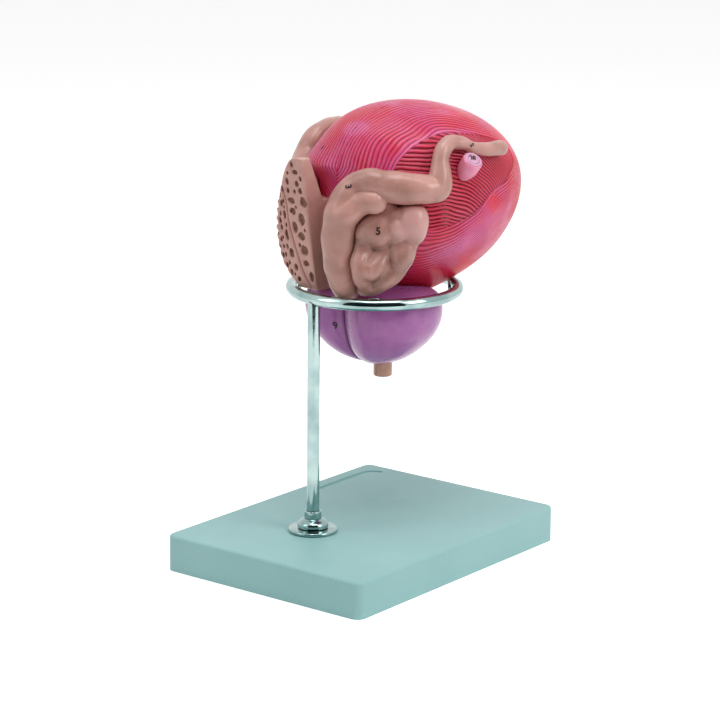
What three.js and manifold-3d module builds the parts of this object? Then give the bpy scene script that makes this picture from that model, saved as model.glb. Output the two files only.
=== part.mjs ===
// Bladder and prostate model, about one and a half times life size, in two halves on a ring stand.
// Millimetres, +Z up. The base's long side runs along X, and the front of the organ faces +X.
import * as THREE from "three";
import { mergeVertices } from "three/addons/utils/BufferGeometryUtils.js";
import Module from "manifold-3d";

const wasm = await Module();
wasm.setup();

// Clearances
const TOUCH_GAP = 0.3; // between two pieces that touch
const SPLIT_GAP = 0.4; // between the two halves of the organ

// Base board and its pads
const BASE_LENGTH = 180;
const BASE_WIDTH = 134;
const BASE_HEIGHT = 20.2;
const BASE_CORNER = 5;
const BASE_EDGE = 1.6; // rounding of the top edge
const BASE_WALL = 3;
const BASE_TOP_WALL = 4;
const BOSS_WALL = 4; // round the pocket for the nut under the board
const POCKET_RADIUS = 11;
const RIB_WIDTH = 3;
const PAD_RADIUS = 6; // rubber pads let in level with the board's rim
const PAD_THICKNESS = 2.4;
const PAD_INSET = 13; // from the board's sides to a pad's centre
const GROOVE_WIDTH = 3;
const GROOVE_DEPTH = 1;
const GROOVE_INSET = 10; // from the board's left side
const GROOVE_START = 30;
const GROOVE_BEND = 72;
const GROOVE_BEND_RADIUS = 8;

// Rod and its fixings
const ROD_X = -33.8;
const ROD_Y = 9.2;
const ROD_RADIUS = 3.4;
const FLANGE_RADIUS = 13.5;
const FLANGE_THICKNESS = 1.8;
const NUT_RADIUS = 8.5; // domed nut on top of the board
const NUT_HEIGHT = 5;
const COLLAR_RADIUS = 4.7;
const COLLAR_HEIGHT = 4;
const WASHER_RADIUS = 9;
const WASHER_THICKNESS = 1.5;
const HEX_ACROSS_FLATS = 11;
const HEX_THICKNESS = 5;
const THREAD_TAIL = 1.5; // rod end below the hexagon nut

// Ring and lugs
const RING_RADIUS = 45.6; // to the centre of the ring's wire
const RING_WIRE = 3.3; // radius of the ring's wire
const RING_HEIGHT = 150.6;
const UPRIGHT_TURN = -8; // degrees, the way the rod was set when its nut was tightened
const LUG_ANGLES = [45, 135, 225, 315];
const LUG_WIDTH = 5.4;
const LUG_THICKNESS = 1.8;
const LUG_BOTTOM = -2.6; // from the ring's middle height
const LUG_TOP = 3.1;

// Bladder: an egg with its broad end up, measured from the ring's centre
const BLADDER_X = 30.3;
const BLADDER_Z = 46;
const BLADDER_HALF_HEIGHT = 54;
const BLADDER_HALF_DEPTH = 60.6;
const BLADDER_HALF_WIDTH = 52;
const BLADDER_LEAN = 10.9; // degrees, top towards the front
const BLADDER_BROADENING = 0.233; // share by which the broad end is wider than the middle
const UNDERCUT_SLOPE = 1.9; // the underside in front slopes forward this much for each millimetre up
const UNDERCUT_ROUNDING = 2.5;
const BLADDER_WALL = 8;
const LINING_THICKNESS = 2;

// Prostate and urethra
const LOBE_X = -0.7;
const LOBE_Y = 16;
const LOBE_Z = -9.5;
const LOBE_DEPTH = 28.5;
const LOBE_WIDTH = 25;
const LOBE_DROP = 32.5;
const LOBE_CONVERGENCE = 0.7; // share of LOBE_Y by which a lobe's lowest point is nearer the middle
const LOBE_SHOULDER = 12;
const LOBE_FULLNESS = 3.2; // 2 is an ellipse, and more is a squarer shoulder
const CORE_SHIFT = 4; // how far forward the joined middle of the lobes lies
const URETHRA_X = 7;
const URETHRA_RADIUS = 5.2;
const URETHRA_BORE = 2;
const URETHRA_BOTTOM = -51.3;

// Deferent ducts and ureters
const DUCT_RADIUS = 4.4;
const DUCT_BEND_RADIUS = 5;
const URETER_RADIUS = 5.6;
const URETER_BORE = 1.6;
const URETER_LENGTH = 10.4; // from its foot to its cut end
const URETER_FOOT = [17.5, 50.5, 68.5];
const LEFT_URETER_DROP = 3.5; // how much lower the left one sits
const URETER_WAY = [-0.05, 0.64, 0.77];

// Cut-open ampulla and vesicle on the left
const SECTION_INNER_Y = 7; // from the middle plane to the cut ampulla's flat side
const SECTION_BOTTOM_Z = 1.5;
const SECTION_TOP_Z = 76;
const SECTION_TO_RING = 8.6; // from the cut face's foot out to the middle of the ring's wire
const SECTION_BOTTOM_X = SECTION_TO_RING - RING_RADIUS;
const SECTION_TOP_X = -49;
const SECTION_EDGE_X = -42; // top of the flat side's front edge
const SECTION_SEAT_X = -32; // where the flat side meets the bladder
const SECTION_SEAT_Z = 52;
const SECTION_FRONT_X = 20; // inside the bladder, beyond all of the piece that shows

// Magnets in the cut faces
const MAGNET_RADIUS = 3;
const MAGNET_THICKNESS = 3;

// Colour, roughness and metalness
const FINISHES = {
  base: ["#9dc8c3", 0.5, 0],
  rubber: ["#3a3d3e", 0.9, 0],
  chrome: ["#d9dcdf", 0.12, 1],
  muscle: ["#d8405f", 0.4, 0],
  lining: ["#e3a49a", 0.4, 0],
  prostate: ["#a5649f", 0.3, 0],
  gland: ["#c09a86", 0.35, 0],
  urethra: ["#b98a74", 0.4, 0],
  ureter: ["#e792b4", 0.4, 0],
  magnet: ["#8f9396", 0.3, 1],
};

const FAR = 200; // beyond every piece of the organ
const radians = THREE.MathUtils.degToRad;
const v3 = (x, y, z) => new THREE.Vector3(x, y, z);

// Solids and meshes

// A closed three.js geometry as a manifold-3d solid.
function solidOf(geometry) {
  const bare = geometry.clone();
  bare.deleteAttribute("normal");
  bare.deleteAttribute("uv");
  const merged = mergeVertices(bare, 1e-4);
  return new wasm.Manifold(
    new wasm.Mesh({
      numProp: 3,
      vertProperties: merged.attributes.position.array,
      triVerts: new Uint32Array(merged.index.array),
    }),
  );
}

// A manifold-3d solid as a named mesh.
function meshOf(name, solid, [color, roughness, metalness]) {
  const { vertProperties, triVerts } = solid.getMesh();
  const geometry = new THREE.BufferGeometry();
  geometry.setAttribute("position", new THREE.BufferAttribute(vertProperties, 3));
  geometry.setIndex(new THREE.BufferAttribute(triVerts, 1));
  geometry.computeVertexNormals();
  const material = new THREE.MeshStandardMaterial({ color, roughness, metalness });
  const mesh = new THREE.Mesh(geometry, material);
  mesh.name = name;
  return mesh;
}

const union = (solids) => solids.reduce((sum, solid) => sum.add(solid));

// A box between two corners.
function box(low, high) {
  const size = high.clone().sub(low);
  const middle = low.clone().add(high).multiplyScalar(0.5);
  const geometry = new THREE.BoxGeometry(size.x, size.y, size.z);
  return solidOf(geometry.translate(middle.x, middle.y, middle.z));
}

// A cylinder that stands on z, with its axis at x, y.
function cylinder(radius, z, height, x = 0, y = 0, sides = 24) {
  const geometry = new THREE.CylinderGeometry(radius, radius, height, sides).rotateX(Math.PI / 2);
  return solidOf(geometry.translate(x, y, z + height / 2));
}

// A turned piece about the Z axis, from [radius, z] points that close.
function turned(points, sides = 22) {
  const profile = points.map(([radius, z]) => new THREE.Vector2(radius, z));
  return solidOf(new THREE.LatheGeometry(profile, sides).rotateX(Math.PI / 2));
}

// A unit ball whose points are moved by place(x, y, z).
function shapedBall(around, along, place) {
  const geometry = new THREE.SphereGeometry(1, around, along).rotateX(Math.PI / 2);
  const position = geometry.attributes.position;
  for (let i = 0; i < position.count; i++) {
    position.setXYZ(i, ...place(position.getX(i), position.getY(i), position.getZ(i)));
  }
  return geometry;
}

// An ellipsoid with its centre at x, y, z.
function ellipsoid([x, y, z], depth, width, height, around = 16, along = 10) {
  return solidOf(shapedBall(around, along, (a, b, c) => [x + depth * a, y + width * b, z + height * c]));
}

// A smooth limb with rounded ends: a turned profile bent along a curve through the points.
// Each point is [x, y, z, radius].
function limb(points, sides = 12, steps = 18, grow = 0) {
  const curve = new THREE.CatmullRomCurve3(points.map(([x, y, z]) => v3(x, y, z)), false, "centripetal");
  const radii = new THREE.CatmullRomCurve3(points.map((p, i) => v3(i, p[3], 0)), false, "centripetal");
  const frames = curve.computeFrenetFrames(steps);
  const capRings = 3;
  const stations = []; // step along the curve, share of the radius beyond it, share of the radius
  for (let j = 0; j < capRings; j++) {
    const angle = (j / capRings) * (Math.PI / 2);
    stations.push([0, -Math.cos(angle), Math.sin(angle)]);
  }
  for (let i = 0; i <= steps; i++) stations.push([i, 0, 1]);
  for (let j = capRings - 1; j >= 0; j--) {
    const angle = (j / capRings) * (Math.PI / 2);
    stations.push([steps, Math.cos(angle), Math.sin(angle)]);
  }
  const profile = stations.map(([, , share], k) => new THREE.Vector2(share, k));
  const lathe = new THREE.LatheGeometry(profile, sides);
  const position = lathe.attributes.position;
  for (let n = 0; n < position.count; n++) {
    const [step, beyond] = stations[Math.round(position.getY(n))];
    const radius = radii.getPoint(curve.getUtoTmapping(step / steps)).y + grow;
    const at = curve.getPointAt(step / steps);
    at.addScaledVector(frames.tangents[step], beyond * radius);
    at.addScaledVector(frames.normals[step], radius * position.getX(n));
    at.addScaledVector(frames.binormals[step], -radius * position.getZ(n));
    position.setXYZ(n, at.x, at.y, at.z);
  }
  return solidOf(lathe);
}

// An outline of [y, z] points as a prism along X.
function prismAlongX(points, fromX, toX) {
  const shape = new THREE.Shape(points.map(([y, z]) => new THREE.Vector2(y, z)));
  const geometry = new THREE.ExtrudeGeometry(shape, { depth: toX - fromX, bevelEnabled: false });
  const turn = new THREE.Matrix4().makeBasis(v3(0, 1, 0), v3(0, 0, 1), v3(1, 0, 0));
  return solidOf(geometry.applyMatrix4(turn).translate(fromX, 0, 0));
}

// An outline of [x, z] points as a prism along Y.
function prismAlongY(points, fromY, toY) {
  const shape = new THREE.Shape(points.map(([x, z]) => new THREE.Vector2(x, z)));
  const geometry = new THREE.ExtrudeGeometry(shape, { depth: toY - fromY, bevelEnabled: false });
  return solidOf(geometry.rotateX(Math.PI / 2).translate(0, toY, 0));
}

// What lies on one side of the middle plane: side is -1 for the right half and 1 for the left.
function halfSpace(side) {
  const near = SPLIT_GAP / 2;
  const middle = (side * (near + FAR)) / 2;
  const half = (FAR - near) / 2;
  return box(v3(-FAR, middle - half, -FAR), v3(FAR, middle + half, FAR));
}

// Base board

const pocketTop = BASE_HEIGHT - BASE_TOP_WALL;

function roundedRectangle(length, width, corner) {
  const shape = new THREE.Shape();
  const x = length / 2 - corner;
  const y = width / 2 - corner;
  shape.absarc(x, y, corner, 0, Math.PI / 2);
  shape.absarc(-x, y, corner, Math.PI / 2, Math.PI);
  shape.absarc(-x, -y, corner, Math.PI, 1.5 * Math.PI);
  shape.absarc(x, -y, corner, 1.5 * Math.PI, 2 * Math.PI);
  return shape;
}

function padPlaces() {
  const x = BASE_LENGTH / 2 - PAD_INSET;
  const y = BASE_WIDTH / 2 - PAD_INSET;
  return [v3(-x, -y, 0), v3(x, -y, 0), v3(x, y, 0), v3(-x, y, 0)];
}

function labelGroove() {
  const y = BASE_WIDTH / 2 - GROOVE_INSET;
  const half = GROOVE_WIDTH / 2;
  const bendY = y - GROOVE_BEND_RADIUS;
  const inner = GROOVE_BEND_RADIUS - half;
  const outer = GROOVE_BEND_RADIUS + half;
  const shape = new THREE.Shape();
  shape.moveTo(GROOVE_START, y - half);
  shape.lineTo(GROOVE_BEND, y - half);
  shape.absarc(GROOVE_BEND, bendY, inner, Math.PI / 2, 0, true);
  shape.lineTo(GROOVE_BEND + outer, bendY);
  shape.absarc(GROOVE_BEND, bendY, outer, 0, Math.PI / 2);
  shape.lineTo(GROOVE_START, y + half);
  const settings = { depth: GROOVE_DEPTH + 1, bevelEnabled: false, curveSegments: 5 };
  return solidOf(new THREE.ExtrudeGeometry(shape, settings).translate(0, 0, BASE_HEIGHT - GROOVE_DEPTH));
}

function boardHollow() {
  const x = BASE_LENGTH / 2 - BASE_WALL;
  const y = BASE_WIDTH / 2 - BASE_WALL;
  const half = RIB_WIDTH / 2;
  const kept = [box(v3(-x, -half, 0), v3(x, half, pocketTop))];
  for (const at of [-BASE_LENGTH / 6, BASE_LENGTH / 6]) {
    kept.push(box(v3(at - half, -y, 0), v3(at + half, y, pocketTop)));
  }
  for (const place of padPlaces()) {
    kept.push(cylinder(PAD_RADIUS + BASE_WALL, 0, pocketTop, place.x, place.y, 20));
  }
  kept.push(cylinder(POCKET_RADIUS + BOSS_WALL, 0, pocketTop, ROD_X, ROD_Y, 28));
  return box(v3(-x, -y, -1), v3(x, y, pocketTop)).subtract(union(kept));
}

function baseBoard() {
  const outline = roundedRectangle(
    BASE_LENGTH - 2 * BASE_EDGE,
    BASE_WIDTH - 2 * BASE_EDGE,
    BASE_CORNER - BASE_EDGE,
  );
  const block = new THREE.ExtrudeGeometry(outline, {
    depth: BASE_HEIGHT - BASE_EDGE,
    bevelSize: BASE_EDGE,
    bevelThickness: BASE_EDGE,
    bevelSegments: 3,
    curveSegments: 4,
  });
  let board = solidOf(block).subtract(box(v3(-FAR, -FAR, -FAR), v3(FAR, FAR, 0)));
  board = board.subtract(boardHollow()).subtract(labelGroove());
  board = board.subtract(cylinder(ROD_RADIUS + TOUCH_GAP, -1, BASE_HEIGHT + 2, ROD_X, ROD_Y));
  board = board.subtract(cylinder(POCKET_RADIUS, -1, pocketTop + 1, ROD_X, ROD_Y, 28));
  for (const place of padPlaces()) {
    const socket = cylinder(PAD_RADIUS + TOUCH_GAP, -1, PAD_THICKNESS + TOUCH_GAP + 1, place.x, place.y);
    board = board.subtract(socket);
  }
  return meshOf("base_board", board, FINISHES.base);
}

function gripPads() {
  return padPlaces().map((place, i) => {
    const pad = meshOf(`grip_pad_${i + 1}`, cylinder(PAD_RADIUS, 0, PAD_THICKNESS), FINISHES.rubber);
    pad.position.copy(place);
    return pad;
  });
}

// Rod and its fixings, about the rod's own axis

const washerBottom = pocketTop - TOUCH_GAP - WASHER_THICKNESS;
const hexBottom = washerBottom - TOUCH_GAP - HEX_THICKNESS;
const flangeBottom = BASE_HEIGHT + TOUCH_GAP;
const nutBottom = flangeBottom + FLANGE_THICKNESS + TOUCH_GAP;
const collarBottom = nutBottom + NUT_HEIGHT + TOUCH_GAP;

// A turned fitting with the rod's hole through it, from its outer [radius, height] points.
function rodFitting(name, outer, z) {
  const hole = ROD_RADIUS + TOUCH_GAP;
  const top = outer[outer.length - 1][1];
  const mesh = meshOf(name, turned([[hole, 0], ...outer, [hole, top], [hole, 0]]), FINISHES.chrome);
  mesh.position.z = z;
  return mesh;
}

function flangeWasher() {
  const chamfer = FLANGE_THICKNESS / 2;
  const outer = [
    [FLANGE_RADIUS, 0],
    [FLANGE_RADIUS, FLANGE_THICKNESS - chamfer],
    [FLANGE_RADIUS - chamfer, FLANGE_THICKNESS],
  ];
  return rodFitting("flange_washer", outer, flangeBottom);
}

function domedNut() {
  const rim = NUT_HEIGHT / 3;
  const crown = Math.PI / 3;
  const outer = [[NUT_RADIUS, 0]];
  for (let i = 0; i <= 4; i++) {
    const angle = (i / 4) * crown;
    const rise = ((NUT_HEIGHT - rim) * Math.sin(angle)) / Math.sin(crown);
    outer.push([NUT_RADIUS * Math.cos(angle), rim + rise]);
  }
  outer.push([COLLAR_RADIUS, NUT_HEIGHT]);
  return rodFitting("domed_nut", outer.filter(([radius]) => radius >= COLLAR_RADIUS - 0.5), nutBottom);
}

function rodCollar() {
  const chamfer = 0.6;
  const outer = [
    [COLLAR_RADIUS, 0],
    [COLLAR_RADIUS, COLLAR_HEIGHT - chamfer],
    [COLLAR_RADIUS - chamfer, COLLAR_HEIGHT],
  ];
  return rodFitting("rod_collar", outer, collarBottom);
}

function underWasher() {
  const outer = [
    [WASHER_RADIUS, 0],
    [WASHER_RADIUS, WASHER_THICKNESS],
  ];
  return rodFitting("under_washer", outer, washerBottom);
}

function hexagonNut() {
  const hexagon = cylinder(HEX_ACROSS_FLATS / Math.sqrt(3), 0, HEX_THICKNESS, 0, 0, 6);
  const nut = hexagon.subtract(cylinder(ROD_RADIUS + TOUCH_GAP, -1, HEX_THICKNESS + 2));
  const mesh = meshOf("hexagon_nut", nut, FINISHES.chrome);
  mesh.position.z = hexBottom;
  return mesh;
}

// The ring lies round the organ's origin, and the rod stands under its wire.
function ringSolid(grow = 0) {
  return solidOf(new THREE.TorusGeometry(RING_RADIUS, RING_WIRE + grow, 10, 52));
}

function rod() {
  const bottom = hexBottom - THREAD_TAIL;
  const stock = cylinder(ROD_RADIUS, bottom, RING_HEIGHT - bottom);
  const saddle = ringSolid(TOUCH_GAP).translate([RING_RADIUS, 0, RING_HEIGHT]);
  return meshOf("rod", stock.subtract(saddle), FINISHES.chrome);
}

function lugs() {
  const outer = RING_RADIUS - RING_WIRE - TOUCH_GAP;
  const inner = outer - LUG_THICKNESS;
  const half = LUG_WIDTH / 2;
  return LUG_ANGLES.map((angle, i) => {
    const plate = box(v3(inner, -half, LUG_BOTTOM), v3(outer, half, LUG_TOP));
    const lug = meshOf(`ring_lug_${i + 1}`, plate, FINISHES.chrome);
    lug.rotation.z = radians(angle);
    return lug;
  });
}

// Bladder

// The egg, drawn in by an inset all round. Its underside in front is drawn back to rest on the ring.
function egg(inset, around = 36, along = 20) {
  const geometry = shapedBall(around, along, (x, y, z) => {
    const broad = 1 + BLADDER_BROADENING * z;
    return [
      (BLADDER_HALF_DEPTH - inset) * broad * x,
      (BLADDER_HALF_WIDTH - inset) * broad * y,
      (BLADDER_HALF_HEIGHT - inset) * z,
    ];
  });
  geometry.rotateY(radians(BLADDER_LEAN)).translate(BLADDER_X, 0, BLADDER_Z);
  const clear = RING_RADIUS - (RING_WIRE + TOUCH_GAP + inset) * Math.hypot(1, UNDERCUT_SLOPE);
  const position = geometry.attributes.position;
  for (let i = 0; i < position.count; i++) {
    const [x, y, z] = position.array.slice(3 * i, 3 * i + 3);
    const out = Math.hypot(x, y);
    const beyond = (out - clear - UNDERCUT_SLOPE * z) / UNDERCUT_ROUNDING;
    const kept = out > 0 ? 1 - (Math.log1p(Math.exp(beyond)) * UNDERCUT_ROUNDING) / out : 1;
    position.setXYZ(i, x * kept, y * kept, z);
  }
  return solidOf(geometry);
}

const bladderOuter = egg(0);
const bladderKeepOut = egg(-TOUCH_GAP);
const bladderCavity = egg(BLADDER_WALL, 28, 16);
const passage = cylinder(URETHRA_BORE, URETHRA_BOTTOM - 1, BLADDER_Z - URETHRA_BOTTOM, URETHRA_X, 0, 12);

// Places on the middle plane, halfway through the wall, for the three pairs of magnets.
function magnetPlaces() {
  const lean = radians(BLADDER_LEAN);
  const reach = BLADDER_HALF_DEPTH - BLADDER_WALL / 2;
  const rise = BLADDER_HALF_HEIGHT - BLADDER_WALL / 2;
  const centre = v3(BLADDER_X, 0, BLADDER_Z);
  return {
    front: v3(reach * Math.cos(lean), 0, -reach * Math.sin(lean)).add(centre),
    rear: v3(-reach * Math.cos(lean), 0, reach * Math.sin(lean)).add(centre),
    top: v3(rise * Math.sin(lean), 0, rise * Math.cos(lean)).add(centre),
  };
}

// A disc on the Y axis through a place, between two distances from the middle plane.
function disc(radius, near, far, place, side) {
  const geometry = new THREE.CylinderGeometry(radius, radius, far - near, 14);
  return solidOf(geometry.translate(place.x, (side * (near + far)) / 2, place.z));
}

function magnets(label, side) {
  const near = SPLIT_GAP / 2;
  return Object.entries(magnetPlaces()).map(([spot, place]) => {
    const solid = disc(MAGNET_RADIUS, near, near + MAGNET_THICKNESS, place, side);
    return meshOf(`${label}_magnet_${spot}`, solid, FINISHES.magnet);
  });
}

function bladderWall(label, side) {
  let wall = bladderOuter.subtract(bladderCavity).intersect(halfSpace(side));
  wall = wall.subtract(passage);
  const socketDepth = SPLIT_GAP / 2 + MAGNET_THICKNESS + TOUCH_GAP;
  for (const place of Object.values(magnetPlaces())) {
    wall = wall.subtract(disc(MAGNET_RADIUS + TOUCH_GAP, -1, socketDepth, place, side));
  }
  return meshOf(`${label}_bladder_wall`, wall, FINISHES.muscle);
}

function bladderLining(label, side) {
  const outside = BLADDER_WALL + TOUCH_GAP;
  const shell = egg(outside, 28, 16).subtract(egg(outside + LINING_THICKNESS, 24, 14));
  const lining = shell.intersect(halfSpace(side)).subtract(passage);
  return meshOf(`${label}_bladder_lining`, lining, FINISHES.lining);
}

// Prostate and urethra

// A lobe: half an ellipsoid below its widest level, and a squarer shoulder above it.
function lobe(x, y, depth, width, grow) {
  const power = 2 / LOBE_FULLNESS;
  const geometry = shapedBall(24, 16, (a, b, c) => {
    const level = Math.sqrt(Math.max(1 - c * c, 0));
    const fuller = c > 0 && level > 1e-6 ? level ** (power - 1) : 1;
    const height = c > 0 ? (LOBE_SHOULDER + grow) * c ** power : (LOBE_DROP + grow) * c;
    const centre = y * (1 - LOBE_CONVERGENCE * Math.min(c, 0) ** 2);
    return [x + (depth + grow) * a * fuller, centre + (width + grow) * b * fuller, LOBE_Z + height];
  });
  return solidOf(geometry);
}

// The two lobes and the middle that joins them, grown by an amount all round.
function prostateBody(grow = 0) {
  return union([
    lobe(LOBE_X, -LOBE_Y, LOBE_DEPTH, LOBE_WIDTH, grow),
    lobe(LOBE_X, LOBE_Y, LOBE_DEPTH, LOBE_WIDTH, grow),
    lobe(LOBE_X + CORE_SHIFT, 0, LOBE_DEPTH - CORE_SHIFT, LOBE_WIDTH, grow),
  ]);
}

const prostateKeepOut = prostateBody(TOUCH_GAP);

// The urethra's stock: it runs up to the bladder, which trims it.
function urethraTube(grow = 0) {
  return cylinder(URETHRA_RADIUS + grow, URETHRA_BOTTOM, BLADDER_Z - URETHRA_BOTTOM, URETHRA_X);
}

function prostateLobe(label, side) {
  const half = prostateBody().subtract(bladderKeepOut).subtract(urethraTube(TOUCH_GAP));
  return meshOf(`${label}_prostate_lobe`, half.intersect(halfSpace(side)), FINISHES.prostate);
}

function urethra(label, side) {
  const tube = urethraTube().subtract(bladderKeepOut).subtract(passage);
  const lower = box(v3(-FAR, -FAR, -FAR), v3(FAR, FAR, BLADDER_Z / 2));
  return meshOf(`${label}_urethra`, tube.intersect(lower).intersect(halfSpace(side)), FINISHES.urethra);
}

// Ureters and deferent ducts

function ureter(label, side) {
  const [x, y, z] = URETER_FOOT;
  const foot = v3(x, side * y, side > 0 ? z - LEFT_URETER_DROP : z);
  const way = v3(URETER_WAY[0], side * URETER_WAY[1], URETER_WAY[2]).normalize();
  const sunk = URETER_RADIUS; // so that the whole foot reaches the bladder before it is trimmed
  const turn = new THREE.Quaternion().setFromUnitVectors(v3(0, 1, 0), way);
  const middle = foot.clone().addScaledVector(way, (URETER_LENGTH - sunk) / 2);
  const end = foot.clone().addScaledVector(way, URETER_LENGTH);
  const tube = new THREE.CylinderGeometry(URETER_RADIUS, URETER_RADIUS, URETER_LENGTH + sunk, 20);
  const bore = new THREE.CylinderGeometry(URETER_BORE, URETER_BORE, URETER_BORE * 3, 10);
  tube.applyQuaternion(turn).translate(middle.x, middle.y, middle.z);
  bore.applyQuaternion(turn).translate(end.x, end.y, end.z);
  const stub = solidOf(tube).subtract(bladderKeepOut).subtract(solidOf(bore));
  return meshOf(`${label}_ureter`, stub, FINISHES.ureter);
}

// From the cut end, over the side of the bladder, to where the ampulla starts.
const DUCT_ROUTE = [
  [42, -55, 79, DUCT_RADIUS],
  [32, -54.5, 80, DUCT_RADIUS],
  [18, -51, 84.5, DUCT_RADIUS],
  [8, -48, 85.5, DUCT_RADIUS],
  [2, -48.5, 80, DUCT_BEND_RADIUS],
  [-1, -50, 71, DUCT_BEND_RADIUS],
];

// From the duct, back along the bladder and down beside the middle plane.
const AMPULLA_ROUTE = [
  [-2, -50, 67, 6],
  [-8, -47, 62, 7.5],
  [-18, -39, 62, 8.5],
  [-27, -28, 63, 8.5],
  [-34, -18, 59, 9],
  [-38, -11.5, 47, 9.6],
  [-37.5, -11.5, 31, 9.6],
  [-35.5, -12, 16, 9],
  [-33.3, -12.2, 4.5, 7],
];

const ampullaBody = (grow = 0) => limb(AMPULLA_ROUTE, 14, 26, grow);
const ampullaKeepOut = ampullaBody(TOUCH_GAP);

function rightDuct() {
  const duct = limb(DUCT_ROUTE, 12, 20).subtract(bladderKeepOut).subtract(ampullaKeepOut);
  return meshOf("right_deferent_duct", duct, FINISHES.gland);
}

function rightAmpulla() {
  const piece = ampullaBody().subtract(bladderKeepOut).subtract(prostateKeepOut).intersect(halfSpace(-1));
  return meshOf("right_ampulla", piece, FINISHES.gland);
}

// The vesicle's coils: a finger beside the ampulla, and rounded lobes outside and below it.
function rightVesicle() {
  const lobes = [
    [-22, -27, 41, 12, 12],
    [-12, -42, 48, 9, 8.5],
    [-17, -36, 40, 10, 9],
    [-16, -37, 27, 9.5, 10],
    [-26, -24, 20, 12.5, 13.5],
    [-22, -29, 18, 10, 10],
  ];
  const coils = [
    limb([[-34, -20, 26, 6], [-35, -19, 42, 6.5], [-31, -25, 53, 6.5], [-23, -33, 57, 6]], 10, 8),
    ...lobes.map(([x, y, z, radius, height]) => ellipsoid([x, y, z], radius, radius, height, 12, 8)),
  ];
  const piece = union(coils).subtract(ampullaKeepOut).subtract(bladderKeepOut);
  return meshOf("right_seminal_vesicle", piece.subtract(prostateKeepOut), FINISHES.gland);
}

// Left side: the ampulla and vesicle are cut open by a plane that leans back a little.
// The left duct lies a little lower and wider than the right one, and passes behind the cut piece.
const LEFT_DUCT_ROUTE = [
  [42, 55, 77, DUCT_RADIUS],
  [32, 54.5, 79, DUCT_RADIUS],
  [18, 51, 81.5, 4.8],
  [8, 50, 80, 5.4],
  [0, 50, 75, 6.4],
  [-5, 49.5, 67, 7.4],
  [-14, 43, 60, 8],
  [-24, 33, 58, 8],
  [-31, 22, 58, 7],
];

const leftDuctBody = (grow = 0) => limb(LEFT_DUCT_ROUTE, 12, 28, grow);

// The section's profile in [x, z]: cut face, top, and the front edge down to its seat on the bladder.
const SECTION_PROFILE = [
  [SECTION_BOTTOM_X, SECTION_BOTTOM_Z],
  [SECTION_FRONT_X, SECTION_BOTTOM_Z],
  [SECTION_FRONT_X, SECTION_SEAT_Z],
  [SECTION_SEAT_X, SECTION_SEAT_Z],
  [SECTION_EDGE_X, SECTION_TOP_Z],
  [SECTION_TOP_X, SECTION_TOP_Z],
];

// The groove between ampulla and vesicle as it shows on the cut face, in [y, z] from the top down.
const SEAM = [
  [26, 60],
  [23.5, 50],
  [23.3, 39],
  [21.5, 29.5],
  [19, 20],
  [16, 11],
  [10.5, SECTION_BOTTOM_Z],
];

// The cut face's outline beyond the groove's ends.
const CROWN = [SEAM[0], [22, 68], [17, 74], [11, SECTION_TOP_Z]];
const FLANK = [
  [20.5, SECTION_BOTTOM_Z],
  [27.5, 7.6],
  [32, 14.4],
  [34.2, 24],
  [34.2, 34],
  [32.5, 43.5],
  [29.5, 52],
  SEAM[0],
];

function spline(points, count) {
  const curve = new THREE.SplineCurve(points.map(([y, z]) => new THREE.Vector2(y, z)));
  return curve.getPoints(count).map((point) => [point.x, point.y]);
}

const sectionKeepOut = union([
  ringSolid(TOUCH_GAP),
  bladderKeepOut,
  prostateKeepOut,
  leftDuctBody(TOUCH_GAP),
]);

function leftSection(name, outline) {
  const profile = prismAlongY(SECTION_PROFILE, 0, FAR);
  const piece = prismAlongX(outline, -FAR, SECTION_FRONT_X).intersect(profile);
  return meshOf(name, piece.subtract(sectionKeepOut), FINISHES.gland);
}

function leftAmpulla() {
  const foot = [SECTION_INNER_Y, SECTION_BOTTOM_Z];
  const head = [SECTION_INNER_Y, SECTION_TOP_Z];
  const outline = [head, foot, ...spline([...SEAM].reverse(), 14), ...spline(CROWN, 8).slice(1)];
  return leftSection("left_ampulla_section", outline);
}

function leftVesicle() {
  const inner = spline(SEAM, 14).map(([y, z]) => [y + TOUCH_GAP, z]);
  return leftSection("left_vesicle_section", [...inner, ...spline(FLANK, 16).slice(0, -1)]);
}

function leftDuct() {
  return meshOf("left_deferent_duct", leftDuctBody().subtract(bladderKeepOut), FINISHES.gland);
}

// Assembly

const model = new THREE.Group();
model.add(baseBoard(), ...gripPads());

const upright = new THREE.Group();
upright.position.set(ROD_X, ROD_Y, 0);
upright.rotation.z = radians(UPRIGHT_TURN);
upright.add(rod(), flangeWasher(), domedNut(), rodCollar(), underWasher(), hexagonNut());
model.add(upright);

const holder = new THREE.Group();
holder.position.set(RING_RADIUS, 0, RING_HEIGHT);
holder.add(meshOf("support_ring", ringSolid(), FINISHES.chrome), ...lugs());
upright.add(holder);

for (const [label, side] of [
  ["right", -1],
  ["left", 1],
]) {
  holder.add(
    bladderWall(label, side),
    bladderLining(label, side),
    prostateLobe(label, side),
    urethra(label, side),
    ureter(label, side),
    ...magnets(label, side),
  );
}
holder.add(rightDuct(), rightAmpulla(), rightVesicle());
holder.add(leftDuct(), leftAmpulla(), leftVesicle());

export default model;
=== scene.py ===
"""Looks of the bladder and prostate model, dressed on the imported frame.

Lengths are millimetres unless a name says metres. The organ has a frame of its own: its origin is the
middle of the support ring, x runs to its front, y to its left and z up.
"""

import math

import bpy
import numpy as np
from mathutils import Matrix, Vector

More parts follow.
